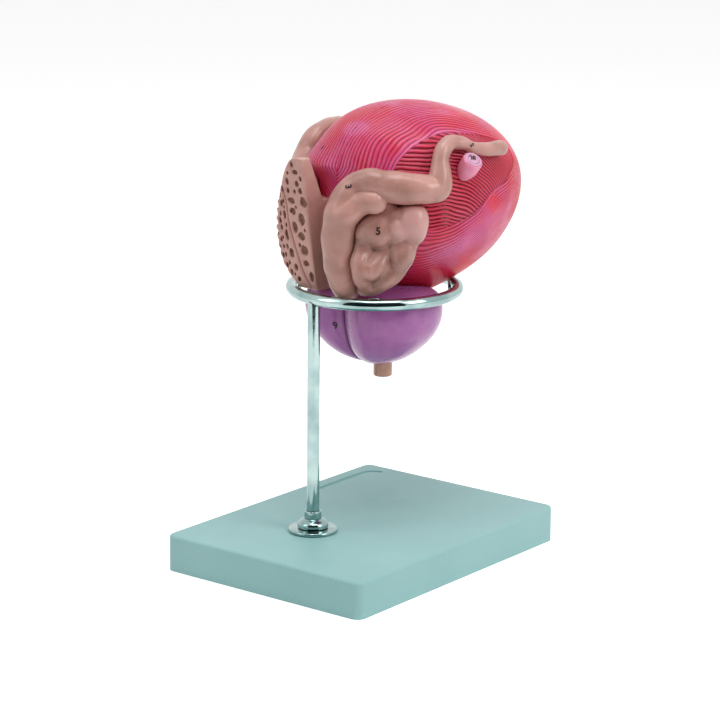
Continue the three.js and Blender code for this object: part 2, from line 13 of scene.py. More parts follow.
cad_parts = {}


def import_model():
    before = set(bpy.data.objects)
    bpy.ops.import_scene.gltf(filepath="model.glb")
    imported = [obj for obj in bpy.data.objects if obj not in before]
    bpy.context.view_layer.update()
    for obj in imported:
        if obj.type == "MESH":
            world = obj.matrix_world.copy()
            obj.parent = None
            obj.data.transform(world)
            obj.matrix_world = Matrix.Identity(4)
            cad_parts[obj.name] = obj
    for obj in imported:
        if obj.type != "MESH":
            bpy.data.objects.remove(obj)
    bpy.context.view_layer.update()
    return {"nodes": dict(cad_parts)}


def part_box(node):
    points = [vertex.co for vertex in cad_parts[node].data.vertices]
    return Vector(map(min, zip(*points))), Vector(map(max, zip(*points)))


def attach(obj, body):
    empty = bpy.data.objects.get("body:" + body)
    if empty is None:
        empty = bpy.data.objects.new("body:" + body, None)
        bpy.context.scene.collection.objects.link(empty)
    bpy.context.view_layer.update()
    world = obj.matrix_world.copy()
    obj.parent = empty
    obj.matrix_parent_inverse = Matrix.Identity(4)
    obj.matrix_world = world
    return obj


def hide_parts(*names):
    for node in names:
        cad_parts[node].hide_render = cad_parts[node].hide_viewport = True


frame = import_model()

MM = 0.001

# Places taken from the frame
ring_low, ring_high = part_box("support_ring")
ORGAN = (ring_low + ring_high) / 2 / MM
rod_low, rod_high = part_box("rod")
ROD = (rod_low + rod_high) / 2 / MM
board_low, board_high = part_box("base_board")
BOARD_SIZE = (board_high - board_low) / MM
ORGAN_TURN = math.radians(-8)

TOUCH_GAP = 0.3
SPLIT_GAP = 0.4
SEEN_GAP = 0.06  # the joint between the halves as it shows
BURIED = 2.4  # how deep a gland's back lies under the muscle's surface
FAR = 200

# Board
BOARD_CORNER = 5
BOARD_EDGE = 1.6
BOARD_EDGE_STEPS = 8
BOARD_WALL = 3
BOARD_TOP_WALL = 4
RIB_WIDTH = 3
BOSS_WALL = 4
POCKET_RADIUS = 11
PAD_RADIUS = 6
PAD_THICKNESS = 2.4
PAD_INSET = 13
GROOVE_WIDTH = 3
GROOVE_DEPTH = 1
GROOVE_INSET = 10
GROOVE_START = 30
GROOVE_BEND = 72
GROOVE_BEND_RADIUS = 8

# Rod, its fixings and the ring
ROD_RADIUS = 3.4
FLANGE_RADIUS = 13.5
FLANGE_THICKNESS = 1.8
FLANGE_SOFT = 0.7
BEVEL = 0.3
NUT_RADIUS = 8.5
NUT_HEIGHT = 5
NUT_ARC = math.pi / 3
COLLAR_RADIUS = 4.7
COLLAR_HEIGHT = 4
COLLAR_SOFT = 0.6
RING_RADIUS = 45.6
RING_WIRE = 3.3
LUG_ANGLES = [45, 135, 225, 315]
LUG_WIDTH = 5.4
LUG_THICKNESS = 1.8
LUG_BOTTOM = -2.6
LUG_TOP = 3.1
LUG_CORNER = 0.5
LUG_BEVEL = 0.336
LUG_BEVEL_HEIGHT = 0.4

# Bladder
EGG_CENTRE = np.array([30.3, 0, 46])
EGG_HALVES = np.array([60.6, 52, 54])
EGG_LEAN = math.radians(10.9)
EGG_BROADENING = 0.233
UNDERCUT_SLOPE = 1.9
UNDERCUT_ROUNDING = 2.5
WALL = 8
LINING_THICKNESS = 2
FOLD_HEIGHT = 1.1
MAGNET_RADIUS = 3
MAGNET_THICKNESS = 3
POLE_REACH = 52  # chart millimetres for each radian from the side pole

# Muscle fibres
FIBRE_SPACING = 2
FIBRE_DEPTH = 0.72
INNER_SPACING = 2.25
INNER_DEPTH = 0.95
WINDOW_DEPTH = 0.5
SKIN_INSET = 0.2  # keeps the painted surface inside the CAD model's
INNER_BEND = 0.016  # how fast the inner fibres turn down towards the front
FLAP_TIP = (-18, 37.8, 69.7)
FLAP_HEIGHT = 5
FLAP_RUN_UP = 10
FLAP_RUN_DOWN = 4.5
FLAP_WIDTH = 9
# Edge of the window in the outer layer, on the chart about the side pole: forward, up
WINDOW = [
    (-50, 8), (-47.6, 19.9), (-40.9, 29.7), (-31.5, 37.5), (-21.6, 42.8), (-6.8, 43.9), (11, 42),
    (22.5, 37.5), (24.2, 30), (17.7, 22.6), (12.8, 16.6), (5.5, 12), (0.2, 5.5), (-4.5, -1.5),
    (-10, -6), (-17, -10.5), (-28.3, -14.7), (-42, -10),
]

# Prostate and urethra
LOBE_X = -0.7
LOBE_Y = 16
LOBE_Z = -9.5
LOBE_DEPTH = 28.5
LOBE_WIDTH = 25
LOBE_DROP = 32.5
LOBE_CONVERGENCE = 0.7
LOBE_SHOULDER = 12
LOBE_FULLNESS = 3.2
CORE_SHIFT = 4
PROSTATE_BACK = -31
PROSTATE_FRONT = 30
PROSTATE_REACH = 43
PROSTATE_BOTTOM = -44
PROSTATE_TOP = 5
PROSTATE_ROUNDS = 14
URETHRA_X = 7
URETHRA_RADIUS = 5.2
URETHRA_BORE = 2
HALF_BLOCK = 70  # reach of the block that keeps one half of the urethra
URETHRA_BOTTOM = -51.3
URETHRA_TOP = -1
URETHRA_EDGE = 0.8

# Ureters
URETER_RADIUS = 5.6
URETER_RIM = 1.5
URETER_LENGTH = 10.4
URETER_FOOT = [17.5, 50.5, 68.5]
LEFT_URETER_DROP = 3.5
# Radius and height up the stub's side, then radius and depth below its end from rim to bore
URETER_SIDE = [(0.4, -3.5), (3.2, -3.5), (4.1, -1.8), (4.85, 0.1), (5.35, 1.8), (5.6, 3.6), (5.6, 6.6)]
URETER_MOUTH = [(3.55, 0), (3.42, 0.22), (3.18, 0.22), (3.05, 0), (0.4, 0)]
URETER_WAY = [-0.05, 0.64, 0.77]

# Duct, ampulla and vesicle: x, y, z, radius along their middle
TUBE_ROUTE = [
    (45, -50, 78.5, 4.4), (35, -50.5, 79, 3.9), (28, -50, 80, 3.4), (22.5, -49, 81.5, 3.2),
    (18, -47.5, 83.5, 3.6), (13.5, -46, 84.5, 4), (9.5, -45.5, 84.5, 4.3), (5, -46, 81.5, 4.5),
    (2, -47, 77, 4.7), (0, -49, 69.5, 6), (-2, -49.5, 62, 7.1), (-6, -47, 61.5, 7.8),
    (-10, -45, 62, 8.2), (-17, -39.5, 62.5, 8.8), (-22, -35, 63.5, 8.9), (-25.3, -30.7, 64.6, 7.7),
    (-28.5, -25.5, 65, 8),
    (-32.5, -19.5, 63.5, 7.2), (-36.5, -15.5, 57.5, 7.6), (-38.5, -13.5, 50, 8.6), (-38.5, -12, 42, 9.3),
    (-38.5, -11.5, 33.5, 9.3), (-38.5, -11, 24, 8.3), (-37.5, -11.5, 15, 7.7), (-33.5, -12.5, 3.5, 6.5),
]
FOLD_ROUTE = [
    (-38.5, -12, 40, 9), (-39.5, -14.5, 45.5, 8.6), (-38, -18, 49.5, 7.8), (-35, -21.5, 53.2, 7.2),
    (-32.5, -26, 55.5, 7), (-30, -30, 55.5, 6.8),
]
VESICLE_COILS = [
    [(-25, -28.3, 38, 8.8), (-28, -24.5, 38.5, 8.6), (-29, -22.5, 34.5, 7), (-32, -22.5, 28, 5.6),
     (-36, -24.5, 21.5, 4.6), (-34, -24.5, 14, 4.6), (-29.5, -23.5, 8.5, 4.4)],
    [(-34, -26.5, 18, 5), (-31.5, -29.5, 18.5, 5.6), (-28, -31, 21.5, 5), (-24, -30.5, 26, 5),
     (-22, -29.5, 31, 5.4)],
    [(-19.5, -34.5, 46.5, 4.8), (-14.5, -37.5, 46, 6.4), (-13, -42, 45, 8), (-12, -41.5, 39.5, 7.2),
     (-13, -39, 34, 6), (-15.5, -38.5, 29, 6), (-17.5, -37.5, 23.5, 6), (-18.5, -35, 17.5, 5.6),
     (-23, -32, 12.5, 5.2), (-26, -27, 8.5, 4.6), (-30.5, -23, 7.5, 4.2)],
    [(-20, -36, 41, 6), (-17, -33.5, 33, 6.4), (-19, -31.5, 26, 5.4), (-24, -31, 18, 4.6)],
]
VESICLE_CORE = [  # x, y, z, radius, half height of what fills the space behind the coils
    (-22, -27, 41, 9.5, 9.5), (-12, -42, 48, 6.5, 6), (-17, -36, 40, 7.5, 6.5), (-16, -37, 27, 7, 7.5),
    (-26, -24, 20, 9.5, 11), (-22, -29, 18, 8, 8), (-20, -29, 52, 5, 5),
]
DIMPLE = (-36.5, -31.8, 20)
LEFT_DUCT_ROUTE = [
    (42, 55, 77, 4.4), (32, 54.5, 79, 4.4), (18, 51, 81.5, 4.8), (8, 50, 80, 5.4), (0, 50, 75, 6.4),
    (-5, 49.5, 67, 7.4), (-14, 43, 60, 8), (-24, 33, 58, 8), (-31, 22, 58, 7),
]
DUCT_JOINT = np.array([0.6, -48.4, 72.5])
DUCT_JOINT_WAY = (0.27, 0.24, 0.93)
DUCT_BLOCK = 80

# Boxes that the glands are made in, from a low to a high corner
TUBE_BOX = ((-52, -60, -6), (52, 1, 93))
VESICLE_BOX = ((-50, -56, -3), (4, -3, 68))
LEFT_DUCT_BOX = ((-42, 10, 48), (49, 63, 90))
AMPULLA_CUT_BOX = ((-51, 5, 0), (22, 29, 78))
VESICLE_CUT_BOX = ((-49, 9, 0), (22, 37, 62))

# Left ampulla and vesicle, cut open by a leaning plane
PIT_DEPTH = 1.7
SECTION_STEP = 0.34
SECTION_ROUNDS = 3
SECTION_INNER_Y = 7
SECTION_BOTTOM_Z = 1.5
SECTION_TOP_Z = 76
SECTION_BOTTOM_X = -37
SECTION_TOP_X = -49
SECTION_EDGE_X = -42
SECTION_SEAT_X = -32
SECTION_SEAT_Z = 52
SEAM = [(26, 60), (23.5, 50), (23.3, 39), (21.5, 29.5), (19, 20), (16, 11), (10.5, 1.5)]
CROWN = [(26, 60), (22, 68), (17, 74), (11, 76)]
FLANK = [
    (20.5, 1.5), (27.5, 7.6), (32, 14.4), (34.2, 24), (34.2, 34), (32.5, 43.5), (29.5, 52), (26, 60),
]

# Camera and light
CAMERA_PLACE = (-1182.52, -914.64, 489.21)
CAMERA_RIGHT = (0.61497, -0.78851, 0.00816)
CAMERA_UP = (0.18819, 0.15680, 0.96953)
CAMERA_BACK = (-0.76577, -0.59470, 0.24482)
LENS = 140.55
SENSOR = 36
CLIP_END = 20
WORLD_GLOW = 0.36
FLOOR_LIFT = 0.56  # what the paper under the model adds to its own light towards the camera
FLOOR_HALF = 3000
FLOOR_BOTTOM = -5
FLOOR_TOP = -0.02
CARD_DISTANCE = 520
CARD_THICKNESS = 4
CARD_HALF = 430
CARD_HEIGHTS = (8, 900)
LAMP_AIM = (0, 0, 0.14)
LAMPS = {  # azimuth and elevation in degrees, distance and size in metres, power
    "left_softbox": (-70, 35, 1.5, (0.5, 1.0), 2.8),
    "right_softbox": (60, 35, 1.5, (0.6, 0.8), 7.2),
    "top_softbox": (20, 80, 1.4, (0.8, 0.8), 8),
}

# Small functions for shapes

SIDES = {-1: "right", 1: "left"}


def smoothstep(low, high, x):
    """Rises from 0 to 1 between low and high, or falls where high is the smaller."""
    t = np.clip((x - low) / (high - low), 0, 1)
    return t * t * (3 - 2 * t)


def soft_min(a, b, softness):
    near = np.maximum(softness - np.abs(a - b), 0) / softness
    return np.minimum(a, b) - near * near * softness / 4


def soft_max(a, b, softness):
    return -soft_min(-a, -b, softness)


def wobble(points, size, seed, waves=10):
    """Smooth noise from about -1 to 1, with bumps of about the given size."""
    source = np.random.default_rng(seed)
    total = 0
    for _ in range(waves):
        way = source.normal(size=3)
        way *= 2 * math.pi / (size * source.uniform(0.8, 1.6)) / np.linalg.norm(way)
        total = total + np.sin(points @ way + source.uniform(0, 2 * math.pi))
    return total / math.sqrt(waves / 2) / 1.6


def spline(points, steps, closed=False):
    """A centripetal curve through points of any number of coordinates."""
    points = np.asarray(points, float)
    before, after = points[-1:], points[:2]
    if not closed:
        before, after = 2 * points[:1] - points[1:2], 2 * points[-1:] - points[-2:-1]
    padded = np.vstack([before, points, after])
    gaps = np.linalg.norm(np.diff(padded, axis=0)[:, :3], axis=1) ** 0.5
    knots = np.append(0, np.cumsum(np.maximum(gaps, 1e-3)))
    made = []
    for i in range(len(padded) - 3):
        t = np.linspace(knots[i + 1], knots[i + 2], steps, endpoint=False)[:, None]
        row = padded[i:i + 4]
        for spans in (((0, 1), (1, 2), (2, 3)), ((0, 2), (1, 3)), ((1, 2),)):
            shares = [(t - knots[i + a]) / (knots[i + b] - knots[i + a]) for a, b in spans]
            row = [(1 - s) * p + s * q for s, p, q in zip(shares, row, row[1:])]
        made += row
    return np.vstack(made if closed else [*made, points[-1:]])


def to_world(points):
    """Points in the organ's frame as points in the row frame, in metres."""
    x, y, z = np.asarray(points, float).T
    c, s = math.cos(ORGAN_TURN), math.sin(ORGAN_TURN)
    return np.stack([ORGAN.x + x * c - y * s, ORGAN.y + x * s + y * c, ORGAN.z + z], -1) * MM


def from_world(points):
    """Points in the row frame, in metres, as points in the organ's frame."""
    x, y, z = np.asarray(points, float).T / MM
    x, y = x - ORGAN.x, y - ORGAN.y
    c, s = math.cos(ORGAN_TURN), math.sin(ORGAN_TURN)
    return np.stack([x * c + y * s, y * c - x * s, z - ORGAN.z], -1)


# Distances, below nought inside a shape


def limb_distance(points, route):
    """Distance to a limb with round ends along a densely stepped route."""
    best = None
    for (*start, r0), (*end, r1) in zip(route[:-1], route[1:]):
        start, way = np.array(start), np.array(end) - start
        share = np.clip((points - start) @ way / (way @ way), 0, 1)
        gap = np.linalg.norm(points - start - share[..., None] * way, axis=-1) - (r0 + share * (r1 - r0))
        best = gap if best is None else np.minimum(best, gap)
    return best


def ball_distance(points, centre, halves):
    halves = np.array(halves, float)
    q = points - np.array(centre)
    k0 = np.linalg.norm(q / halves, axis=-1)
    k1 = np.linalg.norm(q / halves**2, axis=-1)
    return k0 * (k0 - 1) / np.maximum(k1, 1e-6)


def egg_distance(points):
    q = points - EGG_CENTRE
    c, s = math.cos(EGG_LEAN), math.sin(EGG_LEAN)
    x, y, z = q[..., 0] * c - q[..., 2] * s, q[..., 1], q[..., 0] * s + q[..., 2] * c
    depth, width, height = EGG_HALVES
    broad = 1 + EGG_BROADENING * np.clip(z / height, -1, 1)
    scaled = np.stack([x / (depth * broad), y / (width * broad), z / height], -1)
    k0 = np.linalg.norm(scaled, axis=-1)
    steep = np.stack([depth * broad, width * broad, np.full_like(broad, height)], -1)
    k1 = np.linalg.norm(scaled / steep, axis=-1)
    egg = k0 * (k0 - 1) / np.maximum(k1, 1e-6)
    clear = RING_RADIUS - (RING_WIRE + TOUCH_GAP) * math.hypot(1, UNDERCUT_SLOPE)
    out = np.hypot(points[..., 0], points[..., 1])
    cone = (out - clear - UNDERCUT_SLOPE * points[..., 2]) / math.hypot(1, UNDERCUT_SLOPE)
    return soft_max(egg, cone, UNDERCUT_ROUNDING)


def lobe_distance(points, x, y, depth, width):
    h = points[..., 2] - LOBE_Z
    c = np.clip(h / LOBE_DROP, -1, 0)
    across = (points[..., 1] - y * (1 - LOBE_CONVERGENCE * c * c)) / width
    ahead = (points[..., 0] - x) / depth
    flat = np.hypot(ahead, across)
    below = np.sqrt(flat**2 + (h / LOBE_DROP) ** 2)
    above = (flat**LOBE_FULLNESS + np.abs(h / LOBE_SHOULDER) ** LOBE_FULLNESS) ** (1 / LOBE_FULLNESS)
    size = np.where(h < 0, (depth + width + LOBE_DROP) / 3, (depth + width) / 2.4)
    return (np.where(h < 0, below, above) - 1) * size


def prostate_distance(points):
    right = lobe_distance(points, LOBE_X, -LOBE_Y, LOBE_DEPTH, LOBE_WIDTH)
    left = lobe_distance(points, LOBE_X, LOBE_Y, LOBE_DEPTH, LOBE_WIDTH)
    core = lobe_distance(points, LOBE_X + CORE_SHIFT, 0, LOBE_DEPTH - CORE_SHIFT, LOBE_WIDTH)
    return soft_min(soft_min(right, left, 1.2), core, 2)


def outline_distance(points, outline):
    """Signed distance from plane points to a closed outline."""
    outline = np.asarray(outline, float)
    inside = np.zeros(points.shape[:-1], bool)
    best = np.full(points.shape[:-1], 1e9)
    for a, b in zip(outline, np.roll(outline, -1, axis=0)):
        way = b - a
        share = np.clip((points - a) @ way / (way @ way), 0, 1)
        best = np.minimum(best, np.linalg.norm(points - a - share[..., None] * way, axis=-1))
        x, y = points[..., 0], points[..., 1]
        crosses = (a[1] > y) != (b[1] > y)
        rise = b[1] - a[1] if b[1] != a[1] else 1e-9
        inside ^= crosses & (x < a[0] + (y - a[1]) / rise * (b[0] - a[0]))
    return np.where(inside, -best, best)


# From distances to meshes

BLOCK = 4
CHUNK = 300_000

CORNERS = np.array([[i, j, k] for i in (0, 1) for j in (0, 1) for k in (0, 1)])
CELL_EDGES = [(a, b) for a in range(8) for b in range(a + 1, 8) if abs(CORNERS[a] - CORNERS[b]).sum() == 1]


def field(distance, axes):
    """Values of a distance on a grid: exact near the surface, and only of the right sign far from it."""
    step = axes[0][1] - axes[0][0]
    blocks = [len(axis) // BLOCK for axis in axes]
    middles = [axis[::BLOCK] + step * (BLOCK - 1) / 2 for axis in axes]
    middle = np.stack(np.meshgrid(*middles, indexing="ij"), -1).reshape(-1, 3)
    rough = np.concatenate([distance(part) for part in np.array_split(middle, len(middle) // CHUNK + 1)])
    value = rough.reshape(blocks)
    for axis in range(3):
        value = value.repeat(BLOCK, axis)
    near = np.argwhere(np.abs(rough.reshape(blocks)) < BLOCK * step * 1.3)
    inside = np.array([[i, j, k] for i in range(BLOCK) for j in range(BLOCK) for k in range(BLOCK)])
    at = (near[:, None] * BLOCK + inside).reshape(-1, 3)
    for part in np.array_split(at, len(at) // CHUNK + 1):
        points = np.stack([axes[a][part[:, a]] for a in range(3)], -1)
        value[tuple(part.T)] = distance(points)
    return value


def skin(distance, low, high, step):
    """Points and quads of the surface where distance(points) is nought, inside a box."""
    low, high = np.array(low, float), np.array(high, float)
    counts = (np.ceil((high - low) / step / BLOCK).astype(int) + 1) * BLOCK
    axes = [low[a] + step * np.arange(counts[a]) for a in range(3)]
    value = field(distance, axes)
    for axis in range(3):
        ends = np.moveaxis(value, axis, 0)
        ends[[0, -1]] = np.maximum(ends[[0, -1]], step / 4)
    inside = value < 0
    n = counts - 1
    total = sum(inside[i:i + n[0], j:j + n[1], k:k + n[2]].astype(np.int8) for i, j, k in CORNERS)
    cells = np.argwhere((total > 0) & (total < 8))
    index = np.full(n, -1, np.int64)
    index[tuple(cells.T)] = np.arange(len(cells))
    at = cells[:, None, :] + CORNERS
    v = value[at[..., 0], at[..., 1], at[..., 2]]
    place = np.zeros((len(cells), 3))
    crossings = np.zeros(len(cells))
    for a, b in CELL_EDGES:
        crossing = (v[:, a] < 0) != (v[:, b] < 0)
        gap = np.where(crossing, v[:, a] - v[:, b], 1)
        share = np.where(crossing, v[:, a] / gap, 0)
        place += np.where(crossing[:, None], CORNERS[a] + share[:, None] * (CORNERS[b] - CORNERS[a]), 0)
        crossings += crossing
    points = low + (cells + place / crossings[:, None]) * step
    quads = []
    for axis in range(3):
        u, w = np.eye(3, dtype=int)[(axis + 1) % 3], np.eye(3, dtype=int)[(axis + 2) % 3]
        first = inside.take(range(counts[axis] - 1), axis)
        second = inside.take(range(1, counts[axis]), axis)
        at = np.argwhere(first != second)
        ring = [index[tuple((at - shift).T)] for shift in (0 * u, u, u + w, w)]
        quad = np.stack(ring, -1)
        outward = first[tuple(at.T)]
        quads.append(np.where(outward[:, None], quad, quad[:, ::-1]))
    return points, np.vstack(quads)


def neighbours(quads):
    """Directed edges between neighbouring points."""
    count = quads.max() + 1
    pairs = [(quads[:, i], quads[:, (i + 1) % quads.shape[1]]) for i in range(quads.shape[1])]
    codes = np.unique(np.concatenate([a * count + b for a, b in pairs] + [b * count + a for a, b in pairs]))
    return np.stack([codes // count, codes % count], -1)


def neighbour_mean(values, links, count):
    total = np.stack([np.bincount(links[:, 0], column[links[:, 1]], count) for column in values.T], -1)
    return total / np.bincount(links[:, 0], minlength=count)[:, None]


def point_normals(points, quads):
    crossed = np.cross(points[quads[:, 2]] - points[quads[:, 0]], points[quads[:, 3]] - points[quads[:, 1]])
    total = np.zeros_like(points)
    for i in range(4):
        for axis in range(3):
            total[:, axis] += np.bincount(quads[:, i], crossed[:, axis], len(points))
    return total / np.maximum(np.linalg.norm(total, axis=1, keepdims=True), 1e-9)


def relaxed(points, quads, rounds=5):
    links = neighbours(quads)
    for _ in range(rounds):
        points = points + 0.5 * (neighbour_mean(points, links, len(points)) - points)
    return points


def hollows(points, quads, rounds=14):
    """How hollow the surface is round each point: above nought in a crevice, below on a ridge."""
    links = neighbours(quads)
    bend = ((neighbour_mean(points, links, len(points)) - points) * point_normals(points, quads)).sum(1)
    for _ in range(rounds):
        bend = 0.3 * bend + 0.7 * neighbour_mean(bend[:, None], links, len(points))[:, 0]
    return bend


def add_mask(mesh, key, values):
    mesh.attributes.new(key, "FLOAT", "POINT").data.foreach_set("value", np.asarray(values, np.float32))


def linked(name, data):
    obj = bpy.data.objects.new(name, data)
    bpy.context.scene.collection.objects.link(obj)
    return obj


def mesh_object(name, points, faces, masks=None, sharp=None):
    """An object from points in metres and arrays of faces, each array with one number of corners."""
    mesh = bpy.data.meshes.new(name)
    corners = np.concatenate([f.ravel() for f in faces]).astype(np.int32)
    sizes = np.concatenate([np.full(len(f), f.shape[1]) for f in faces])
    mesh.vertices.add(len(points))
    mesh.vertices.foreach_set("co", np.asarray(points, np.float32).ravel())
    mesh.loops.add(len(corners))
    mesh.loops.foreach_set("vertex_index", corners)
    mesh.polygons.add(len(sizes))
    mesh.polygons.foreach_set("loop_start", (np.cumsum(sizes) - sizes).astype(np.int32))
    mesh.update(calc_edges=True)
    mesh.validate()
    for key, values in (masks or {}).items():
        add_mask(mesh, key, values)
    obj = linked(name, mesh)
    shade(obj, sharp)
    return obj


def shade(obj, sharp=None):
    """Smooth shading, with an edge kept where faces meet at more than the angle in degrees."""
    mesh = obj.data
    mesh.shade_smooth()
    if sharp is not None:
        mesh.set_sharp_from_angle(angle=math.radians(sharp))


def carve(obj, *tools, operation="DIFFERENCE", sharp=None):
    """Cuts the tools out of an object, or keeps what they share, and removes them."""
    for tool in tools:
        step = obj.modifiers.new("carve", "BOOLEAN")
        step.operation = operation
        step.solver = "MANIFOLD"
        step.object = tool
    made = bpy.data.meshes.new_from_object(obj.evaluated_get(bpy.context.evaluated_depsgraph_get()))
    obj.modifiers.clear()
    obj.data = made
    made.name = obj.name
    for tool in tools:
        bpy.data.objects.remove(tool)
    shade(obj, sharp)


def grid_quads(rows, columns, closed=False):
    """Corners of the quads between rows of points, where each row closes on itself."""
    count = rows if closed else rows - 1
    i, j = np.divmod(np.arange(count * columns), columns)
    k, up = (j + 1) % columns, (i + 1) % rows
    return np.stack([i * columns + j, i * columns + k, up * columns + k, up * columns + j], -1)


def level(outline, z):
    """An outline of x, y points as a loop at a height."""
    return np.column_stack([outline, np.full(len(outline), z)])


def loft(name, loops, sharp=None, place=None):
    """A solid from anticlockwise loops, one above the other, in millimetres unless they are placed."""
    points, count = np.vstack(loops), len(loops[0])
    around = np.arange(count)
    faces = [grid_quads(len(loops), count), around[::-1][None], (len(points) - count + around)[None]]
    return mesh_object(name, place(points) if place else points * MM, faces, sharp=sharp)


def prism(name, outline, bottom, top, sharp=35):
    return loft(name, [level(outline, bottom), level(outline, top)], sharp)


def turned(name, profile, sides, place, sharp=35):
    """A solid turned about Z from a closed profile of radius and height, then placed by a matrix."""
    points = np.vstack([level(circle(radius, sides=sides), z) for radius, z in profile])
    points = points @ np.array(place.to_3x3()).T + np.array(place.translation)
    return mesh_object(name, points * MM, [grid_quads(len(profile), sides, closed=True)], sharp=sharp)


def circle(radius, x=0.0, y=0.0, sides=48):
    angle = np.arange(sides) * 2 * math.pi / sides
    return np.stack([x + radius * np.cos(angle), y + radius * np.sin(angle)], -1)


def arc(centre, radius, start, end, steps):
    """Points on an arc, from one angle to another in degrees."""
    angle = np.radians(np.linspace(start, end, steps + 1))
    return [(centre[0] + radius * math.cos(t), centre[1] + radius * math.sin(t)) for t in angle]


def rounded_rectangle(length, width, corner, steps=10):
    x, y = length / 2 - corner, width / 2 - corner
    points = []
    for centre, start in (((x, y), 0), ((-x, y), 90), ((-x, -y), 180), ((x, -y), 270)):
        points += arc(centre, corner, start, start + 90, steps)
    return np.array(points)


def box_tool(low, high):
    (x0, y0, z0), (x1, y1, z1) = low, high
    return prism("tool", [(x0, y0), (x1, y0), (x1, y1), (x0, y1)], z0, z1)


def post(radius, x, y, bottom, top, sides=48):
    return prism("tool", circle(radius, x, y, sides), bottom, top)


def dress(obj, body, slot, paint, *nodes):
    """Gives a piece its paint and the body it rides on, and hides the CAD nodes it stands for."""
    obj.data.materials.clear()
    obj.data.materials.append(PAINTS[paint])
    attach(obj, body)
    if nodes:
        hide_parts(*nodes)


def dress_half(obj, side, slot, paint, node_name):
    dress(obj, f"{SIDES[side]}_half", slot, paint, f"{SIDES[side]}_{node_name}")


# Paints


def linear(code):
    """A colour code as linear red, green, blue and 1."""
    parts = [int(code[i:i + 2], 16) / 255 for i in (1, 3, 5)]
    return [p / 12.92 if p <= 0.04045 else ((p + 0.055) / 1.055) ** 2.4 for p in parts] + [1]


def node(tree, kind, inputs, output=0, **settings):
    """Adds a node, sets or links its inputs and gives one of its outputs."""
    made = tree.nodes.new("ShaderNode" + kind)
    for key, value in settings.items():
        setattr(made, key, value)
    for key, value in inputs.items():
        if isinstance(value, bpy.types.NodeSocket):
            tree.links.new(value, made.inputs[key])
        else:
            made.inputs[key].default_value = value
    return made.outputs[output] if len(made.outputs) else None


def noise(tree, size, detail, swirl=0, *levels):
    """Noise with patches of a size in millimetres.

    Levels are a low and a high value, and what they become where that isn't 0 and 1.
    """
    where = node(tree, "TexCoord", {}, "Object")
    place = node(tree, "Mapping", {"Vector": where, "Scale": [1 / (size * MM)] * 3})
    grain = {"Vector": place, "Scale": 1, "Detail": detail, "Distortion": swirl}
    value = node(tree, "TexNoise", grain, "Fac")
    if not levels:
        return value
    span = dict(zip(("From Min", "From Max", "To Min", "To Max"), levels))
    return node(tree, "MapRange", {"Value": value, **span}, "Result")


def maths(tree, operation, first, second):
    return node(tree, "Math", {0: first, 1: second}, operation=operation)


def mask(tree, name, factor=None):
    """A mask that the mesh carries, made weaker by a factor where there is one."""
    value = node(tree, "Attribute", {}, "Fac", attribute_name=name)
    return maths(tree, "MULTIPLY", value, factor) if factor else value


def plain_sight(tree):
    """1 for what the camera sees, also in metal, and 0 for what only lights the model."""
    path = tree.nodes.new("ShaderNodeLightPath")
    seen = path.outputs["Is Camera Ray"]
    for key in ("Is Glossy Ray", "Is Transmission Ray"):
        seen = maths(tree, "MAXIMUM", seen, path.outputs[key])
    return seen


def gloss(specular, coat=0.0, roughness=0.03, ior=1.5):
    names = ("Specular IOR Level", "Coat Weight", "Coat Roughness", "Coat IOR")
    return dict(zip(names, (specular, coat, roughness, ior)))


def gland_recipe(light, dark, hollow):
    layers = [
        # Over two tones at random: painted light on the upper right coils, a painted highlight on ridges,
        # and painted shade in crevices in the hollow colour
        ((16, 2, 0.4, 0.35, 0.65), dark), ((1, 4, 0, 0.4, 0.7, 0, 0.2), "#cba093"),
        (("flush",), "#dea7a3"), (("ridge",), "#d8a89f"), (("crevice",), hollow),
    ]
    return gloss(0.3, 0.6, 0.13, 1.4), (4, 2, 0, 0.3, 0.7, 0.3, 0.42), (0.7, 3, 0.03), light, layers


